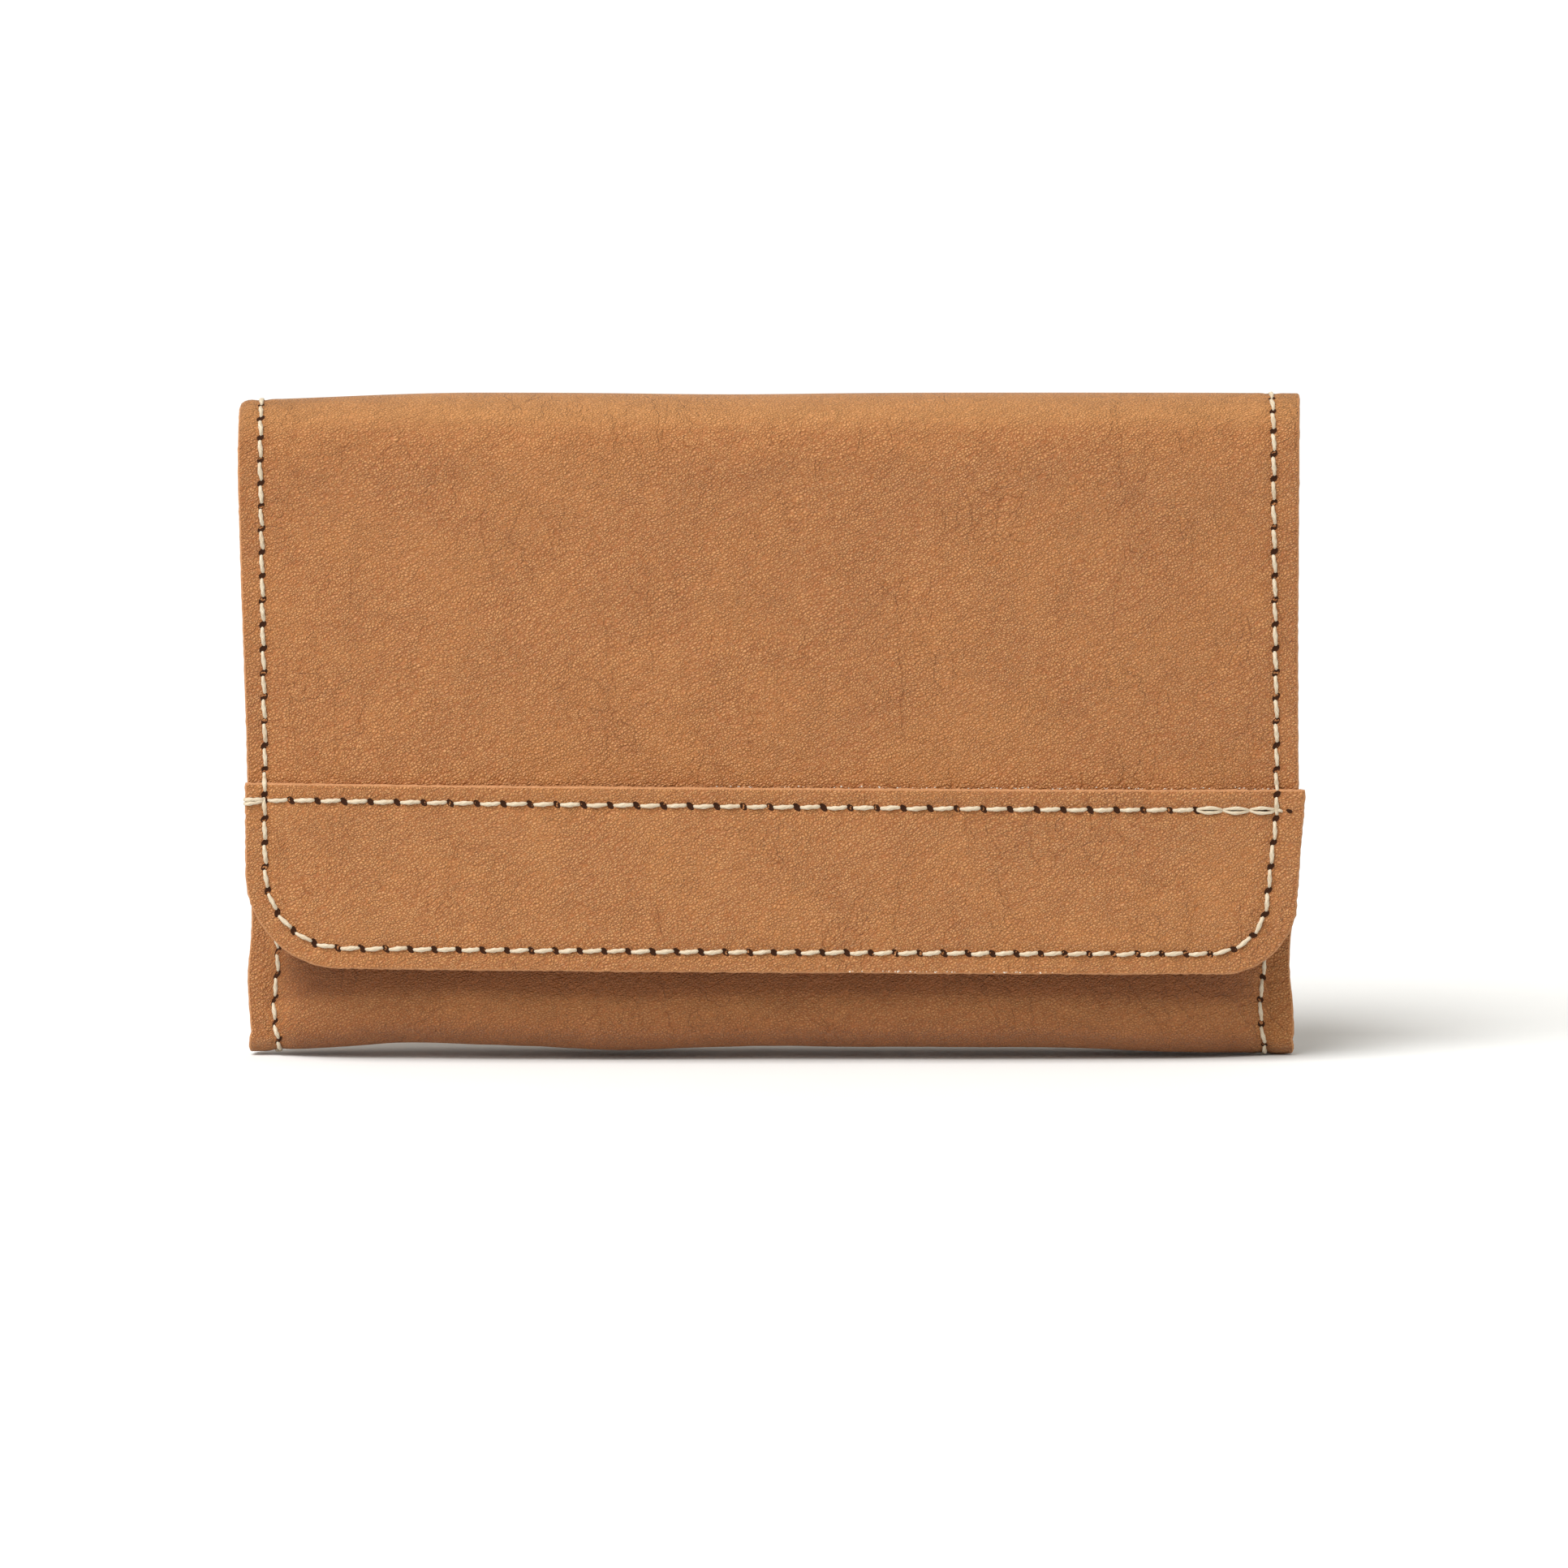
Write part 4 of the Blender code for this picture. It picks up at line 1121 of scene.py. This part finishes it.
def make_body(finishes, routes):
    """The body's leather from the front mouth under the wallet and up the back to the crest."""
    stops = [0.0, 0.0012, *BODY_STOPS[1:]]
    steps = (0.0003, 0.0009, 0.0010, 0.0008, 0.0011, 0.0008, 0.0010)
    v = joined_runs(*(even(-start, -end, step) for start, end, step in zip(stops, stops[1:], steps)))
    grid = stretched_grid(shares_of(0.0012, 0.0006), v, body_edge(-1), body_edge(1))
    relief = seam_relief(routes, hide_relief(31))
    shade = seam_shade(routes, body_shade)
    outer = finishes["outer"]
    made = leather_sheet(
        "body_leather", grid, body_point, LEATHER, outer, relief, shade, joined=0.0, rag=OUTER_RAG
    )
    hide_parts("outer_shell")
    bend(made, *REAR_BEND)
    return relief


def make_flap_panel(finishes, routes):
    """The flap's leather from the crest down to its end under the band."""
    v = joined_runs(
        even(0.0, 0.0012, 0.0003),
        even(0.0012, ARCH_RUN, 0.0009),
        even(ARCH_RUN, flap_v(PANEL_END_Z), 0.0010),
    )
    grid = stretched_grid(shares_of(0.0012, 0.0006), v, flap_edge(-1), flap_edge(1))
    relief = seam_relief(routes, panel_relief)
    shade = seam_shade(routes, panel_shade)
    outer = finishes["outer"]
    made = leather_sheet(
        "flap_leather", grid, flap_point, LEATHER, outer, relief, shade, joined=0.0, rag=OUTER_RAG
    )
    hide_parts("fold_leather", "flap_panel")
    bend(made, *FRONT_BEND)
    return relief


def panel_relief(x, v):
    """The hide's unevenness, with creases in the seam margin and wrinkles that run down the panel."""
    total = hide_relief(41)(x, v)
    for start_x, lean, top, bottom, depth in (
        (-0.0445, 0.04, 0.060, 0.088, 0.00018),
        (-0.0395, -0.10, 0.040, 0.066, 0.00016),
        (-0.0058, -0.16, 0.030, 0.074, 0.00020),
        (0.0240, 0.05, 0.028, 0.060, 0.00012),
        (-0.0600, 0.12, 0.030, 0.055, 0.00012),
        (0.0520, -0.08, 0.050, 0.080, 0.00010),
    ):
        middle = start_x + lean * (v - 0.05) + 0.0012 * np.sin(v * 170 + start_x * 900)
        along = smooth((v - top) / 0.010) * smooth((bottom - v) / 0.010)
        total = total - depth * along * hump((x - middle) / 0.0008)
    crease = np.abs((x + 0.0950) * 0.35 - (v - 0.0245)) / 0.0006
    in_margin = smooth((-0.0905 - x) / 0.001)
    return total - 0.00016 * hump(crease) * in_margin


def make_band(finishes, routes):
    """The band sewn over the flap's lower end, with its two hand-cut corners."""
    corner = FLAP_END_Z + LEFT_CORNER
    turns = np.linspace(0, math.pi / 2, 30)
    rounded = corner - LEFT_CORNER * np.sin(turns)
    heights = joined_runs(even(BAND_TOP_Z, 0.0400, 0.0005), even(0.0400, corner, 0.0008), rounded)
    x, v = stretched_grid(shares_of(0.0009, 0.0006), heights, band_left, band_right)
    z = v + band_tilt(x, v)
    relief = seam_relief(routes, hide_relief(51, 0.9))
    shade = seam_shade(routes, lambda x, v: 0.8 * panel_shade(x, v + 0.05))
    made = leather_sheet(
        "band_leather", (x, flap_v(z)), band_point, LEATHER, finishes["band"], relief, shade, rag=0.00007
    )
    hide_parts("flap_band")
    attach(made, "flap")
    return relief


def make_linings(finishes):
    """The flap's suede lining and the back wall's lining, which meet at the crest."""
    corner = FLAP_END_Z + LEFT_CORNER
    rounded = corner - (LEFT_CORNER - LINING_INSET) * np.sin(np.linspace(0, math.pi / 2, 16))
    v = joined_runs(
        even(0.0, ARCH_RUN, 0.0012),
        even(ARCH_RUN, flap_v(0.043), 0.0025),
        even(flap_v(0.043), flap_v(corner), 0.0008),
        flap_v(rounded),
    )
    shares = shares_of(0.0025, 0.0012)
    x, v = stretched_grid(shares, v, inset(lining_edge(-1), -1), inset(lining_edge(1), 1))
    v = flap_v(flap_height(v) + band_tilt(x, flap_height(v)))
    made = leather_sheet(
        "flap_lining_suede", (x, v), flap_lining_point, LINING, finishes["suede"], joined=0.0, rag=0.00009
    )
    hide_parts("fold_lining", "flap_lining")
    bend(made, *FRONT_BEND)
    v = joined_runs(even(0.0, -ARCH_RUN, 0.0012), even(-ARCH_RUN, back_wall_v(0.014), 0.0025))
    grid = stretched_grid(shares, v, inset(body_edge(-1), -1), inset(body_edge(1), 1))
    inner = finishes["lining"]
    made = leather_sheet("back_wall_lining", grid, back_lining_point, LINING, inner, joined=0.0)
    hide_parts("back_lining")
    bend(made, *REAR_BEND)


def lining_edge(side):
    """The edge that the flap's lining follows: the panel's, and lower down the band's."""
    lower, upper = (band_right if side > 0 else band_left), flap_edge(side)
    return lambda v: np.where(flap_height(v) < 0.046, lower(flap_height(v)), upper(v))


def inset(edge, side):
    return lambda v: edge(v) - side * LINING_INSET


def make_card_slots(finishes):
    """Six overlapping card slots in two columns, each cut a little proud of the last."""
    for side_name in ("left", "right"):
        for row in range(SLOT_ROWS):
            node = f"card_slot_{side_name}_{row + 1}"
            low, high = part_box(node)
            forward = row * (SLOT + GAP) + GAP + SLOT

            def place(x, z, depth, forward=forward):
                return stacked(x, lining_front(x, z) - forward + depth, z)

            x, z = np.meshgrid(even(low.x, high.x, 0.002), even(high.z, low.z, 0.002))
            made = leather_sheet(f"{node}_leather", (x, z), place, SLOT, finishes["inner"], rag=0.00002)
            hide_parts(node)
            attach(made, "root")


def make_coin_pocket(finishes):
    v = joined_runs(
        even(-(POCKET_WALL_RUN + POCKET_BEND_RUN), -POCKET_BEND_RUN, 0.002),
        even(-POCKET_BEND_RUN, POCKET_BEND_RUN, 0.0006),
        even(POCKET_BEND_RUN, POCKET_WALL_RUN + POCKET_BEND_RUN, 0.002),
    )
    half = 0.0919
    x, v = np.meshgrid(shares_of(0.002, 0.001, half) * 2 * half - half + 0.0007, v)
    made = leather_sheet("coin_pocket_leather", (x, v), pocket_point, LINING, finishes["inner"])
    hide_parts("coin_pocket")
    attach(made, "root")


def make_zip_tapes(finishes):
    """The woven tapes on both sides of the teeth, each sewn to its wall of the coin pocket."""
    chain_low, chain_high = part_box("zip_chain")
    for name, wall, inner in (
        ("zip_tape_front", pocket_front, chain_low.y - GAP),
        ("zip_tape_rear", pocket_rear, chain_high.y + GAP),
    ):
        low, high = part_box(name)

        def place(x, share, depth, wall=wall, inner=inner, top=high.z):
            y = inner + (wall(x, POCKET_MOUTH_Z) - inner) * share * 100
            return stacked(x, y, top - depth)

        x, share = np.meshgrid(even(low.x, high.x, 0.001), np.linspace(0, 0.01, 6))
        made = leather_sheet(f"{name}_woven", (x, share), place, high.z - low.z, finishes["tape"])
        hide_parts(name)
        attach(made, "root")


def add_tooth(build, x, y, low, high, length, side):
    """One zip tooth: a narrow clasp that widens to its head over the middle of the chain."""
    outline = [(-0.42, -1.0), (0.42, -1.0), (0.42, -0.1), (0.30, 0.1), (0.46, 0.55), (0.30, 0.95)]
    outline += [(-a, b) for a, b in reversed(outline[2:])]
    flat = np.array(outline) * (length, side * 0.00062)
    rings = []
    for share, z in ((0.75, low), (1.0, low + 0.00015), (1.0, high - 0.00022), (0.8, high - 0.00005)):
        ring = [(x + share * a, y + share * b, z) for a, b in flat]
        rings.append(build.add(ring[::side], (0, 0)))
    build.quads(np.array(rings), FACE, closed=True)
    for end, row in ((low, rings[0][::-1]), (high, rings[-1])):
        build.fan((x, y, end), (0, 0), row, FACE)


def make_zip_chain(finishes):
    """The closed chain: teeth of the two tapes in turn."""
    low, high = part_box("zip_chain")
    middle = (low.y + high.y) / 2
    count = round((high.x - low.x) / 0.00125)
    pitch = (high.x - low.x) / count
    build = Build()
    for number in range(count):
        side = 1 if number % 2 else -1
        x = low.x + (number + 0.5) * pitch
        add_tooth(build, x, middle, low.z, high.z, pitch, side)
    made = build.finished("zip_teeth", finishes["brass"], outward=False)
    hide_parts("zip_chain")
    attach(made, "root")


def make_metal(finishes):
    """Plated finishes for the zip's and the snap's metal pieces."""
    for name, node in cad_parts.items():
        if name in METAL_NODES:
            node.data.materials.clear()
            node.data.materials.append(finishes[METAL_NODES[name]][FACE])


def make_stitching(finishes, edge, seam, sides, reliefs):
    """Every visible row of stitches; the band seam's row is attached to the flap."""
    sewn = finishes["sewn"]
    over_flap = flap_surface(reliefs["panel"], reliefs["band"])
    made = sew("flap_edge_stitches", over_flap, edge, sewn, 3)
    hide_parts("flap_edge_thread", "fold_thread_left", "fold_thread_right")
    bend(made, *FRONT_BEND)
    over_band = over_surface(band_point, reliefs["band"])
    count = seam.stitches - BACKSTITCHES
    made = sew("band_seam_stitches", over_band, seam, sewn, 4, count, slant=0.00012)
    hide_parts("band_seam_thread")
    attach(made, "flap")
    over_body = over_surface(body_point, reliefs["body"])
    for side_name, route in zip(("left", "right"), sides):
        made = sew(f"side_seam_stitches_{side_name}", over_body, route, sewn, 5 + len(side_name))
        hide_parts(f"back_seam_thread_{side_name}", f"front_seam_thread_{side_name}")
        bend(made, *REAR_BEND)


def add_tail(build, lay, seam_left):
    """The band seam's double tail, wrapped round the band's left edge."""
    edge_x = band_left(np.array(0.046))
    t = np.linspace(0, 1, 22)
    for strand, (spread, size) in enumerate(((0.00036, 0.94), (-0.00036, 1.0))):
        x = edge_x - 0.00022 * np.sin(math.pi * np.clip(t / 0.3, 0, 1))
        x = x + (seam_left[0] + 0.0003 - edge_x) * np.clip((t - 0.15) / 0.85, 0, 1)
        v = seam_left[1] + 0.0004 * (1 - t) + spread * (1 - 0.75 * t**2)
        heights = np.interp(t, (0, 0.12, 0.26, 0.8, 1), (-0.0013, -0.0005, 0.00030, 0.00026, -0.0003))
        sizes = THREAD_RADIUS * size * (1 - 0.25 * t)
        add_strand(build, lay, stacked(x, v), heights, sizes[:, None], 1.6, 0.2 * strand)


def make_thread_ends(finishes, seam, reliefs):
    """The band seam's ends: a double tail round the left edge, and backstitches on the right."""
    random = np.random.default_rng(11)
    lay = over_surface(band_point, reliefs["band"])
    build = Build()
    add_tail(build, lay, seam.at(0.0))
    first, last = seam.at((seam.stitches - BACKSTITCHES) * seam.pitch), seam.at(seam.length)
    holes = [first + (last - first) * share for share in np.linspace(0, 1, BACKSTITCHES + 1)]
    for start, end in zip(holes, holes[1:]):
        along = end - start
        reach = along * 0.06
        for bow in (0.00042, -0.00042):
            add_stitch(build, lay, start - reach, end + reach, random, 0.8 * THREAD_RADIUS, bow)
        add_hole(build, lay, (start + end) / 2, along, 0.0019, 0.00050, height=0.00009)
    short = np.array([0.0012, 0.00015])
    add_stitch(build, lay, last - 0.2 * short, last + short, random, 0.85 * THREAD_RADIUS)
    add_hole(build, lay, last + np.array([0.0024, 0.0001]), np.array([1.0, 0.5]), 0.0012, 0.0007)
    made = build.finished("band_seam_ends", finishes["sewn"], outward=False)
    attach(made, "flap")


def make_glue_specks(finishes, reliefs):
    """Dried glue that squeezed out along the band's top edge and its lower end."""
    random = np.random.default_rng(12)
    build = Build()
    over_panel = over_surface(flap_point, reliefs["panel"])
    over_band = over_surface(band_point, reliefs["band"])
    for number in range(GLUE_SPECKS):
        lay = over_panel
        x = random.uniform(-0.010, 0.090)
        z = BAND_TOP_Z + band_tilt(x, BAND_TOP_Z) + 0.00022 + abs(random.normal(0, 0.00016))
        size = random.uniform(0.00006, 0.00017)
        if number % 4 == 0:
            lay = over_band
            x = random.uniform(0.014, 0.052)
            z = FLAP_END_Z + band_tilt(x, FLAP_END_Z) + abs(random.normal(0, 0.00012))
        turn = np.linspace(0, -2 * math.pi, 7, endpoint=False)
        uneven = size * random.uniform(0.6, 1.3, len(turn))
        along = x + 1.5 * uneven * np.cos(turn)
        across = flap_v(z) + uneven * np.sin(turn)
        ring = build.add(lay(along, across, np.full(len(turn), -0.00004)), (x, z))
        top = lay(np.array([x]), np.array([flap_v(z)]), np.array([0.7 * size]))[0]
        build.fan(top, (x, z), ring, FACE)
    made = build.finished("glue_specks", finishes["glue"], outward=False)
    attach(made, "flap")


def make_fibres(finishes):
    """Loose flesh fibres that stick out of the flap's raw lower edge."""
    random = np.random.default_rng(13)
    build = Build()
    for number in range(FIBRES):
        patch = (-0.0790, 0.0800, 0.0)[number % 3]
        x = random.normal(patch, 0.004) if number % 3 < 2 else random.uniform(-0.075, 0.078)
        lowest = max(float(band_low(np.array(x))), FLAP_END_Z)
        length = random.uniform(0.00025, 0.0008)
        lean = random.normal(0, 0.8) * length
        t = np.linspace(0, 1, 5)[:, None]
        depth = random.uniform(0.0008, 0.0024)
        root = np.array([x, flap_v(lowest + band_tilt(x, lowest)) - 0.0003])
        route = root + t * (0, length + 0.0003) + t**2 * (lean, 0)
        heights = -depth + 0.0004 * random.normal() * t[:, 0] ** 2
        add_fibre(build, route, heights)
    made = build.finished("flap_edge_fibres", finishes["suede"][:1], outward=False)
    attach(made, "flap")


def add_fibre(build, route, heights):
    """A hair of three sides that narrows to its tip."""
    centre = band_point(route[:, 0], route[:, 1], -heights)
    size = 0.00004 * np.linspace(1.0, 0.25, len(route))[:, None]
    turns = [2 * math.pi * i / 3 for i in range(3)]
    ring = np.stack([centre + size * (math.cos(t), math.sin(t), 0) for t in turns], axis=1)
    build.quads(build.add(ring, (0, 0)), FACE, closed=True)


def band_low(x):
    """Height of the flap's lower end at x, round its two corners."""
    left = np.clip(-x - (0.0942 - LEFT_CORNER), 0, LEFT_CORNER)
    right = np.clip(x - (0.0935 - RIGHT_CORNER), 0, RIGHT_CORNER)
    rise = LEFT_CORNER - np.sqrt(LEFT_CORNER**2 - left**2)
    return FLAP_END_Z + rise + RIGHT_CORNER - np.sqrt(RIGHT_CORNER**2 - right**2)


def main():
    make_camera()
    make_light()
    make_floor()
    finishes = make_finishes()
    edge, seam = flap_edge_route(), band_seam_route()
    sides = [body_seam_route(-1), body_seam_route(1)]
    reliefs = {
        "body": make_body(finishes, sides),
        "panel": make_flap_panel(finishes, [edge]),
        "band": make_band(finishes, [edge, seam]),
    }
    make_linings(finishes)
    make_card_slots(finishes)
    make_coin_pocket(finishes)
    make_zip_tapes(finishes)
    make_zip_chain(finishes)
    make_metal(finishes)
    make_stitching(finishes, edge, seam, sides, reliefs)
    make_thread_ends(finishes, seam, reliefs)
    make_glue_specks(finishes, reliefs)
    make_fibres(finishes)


main()
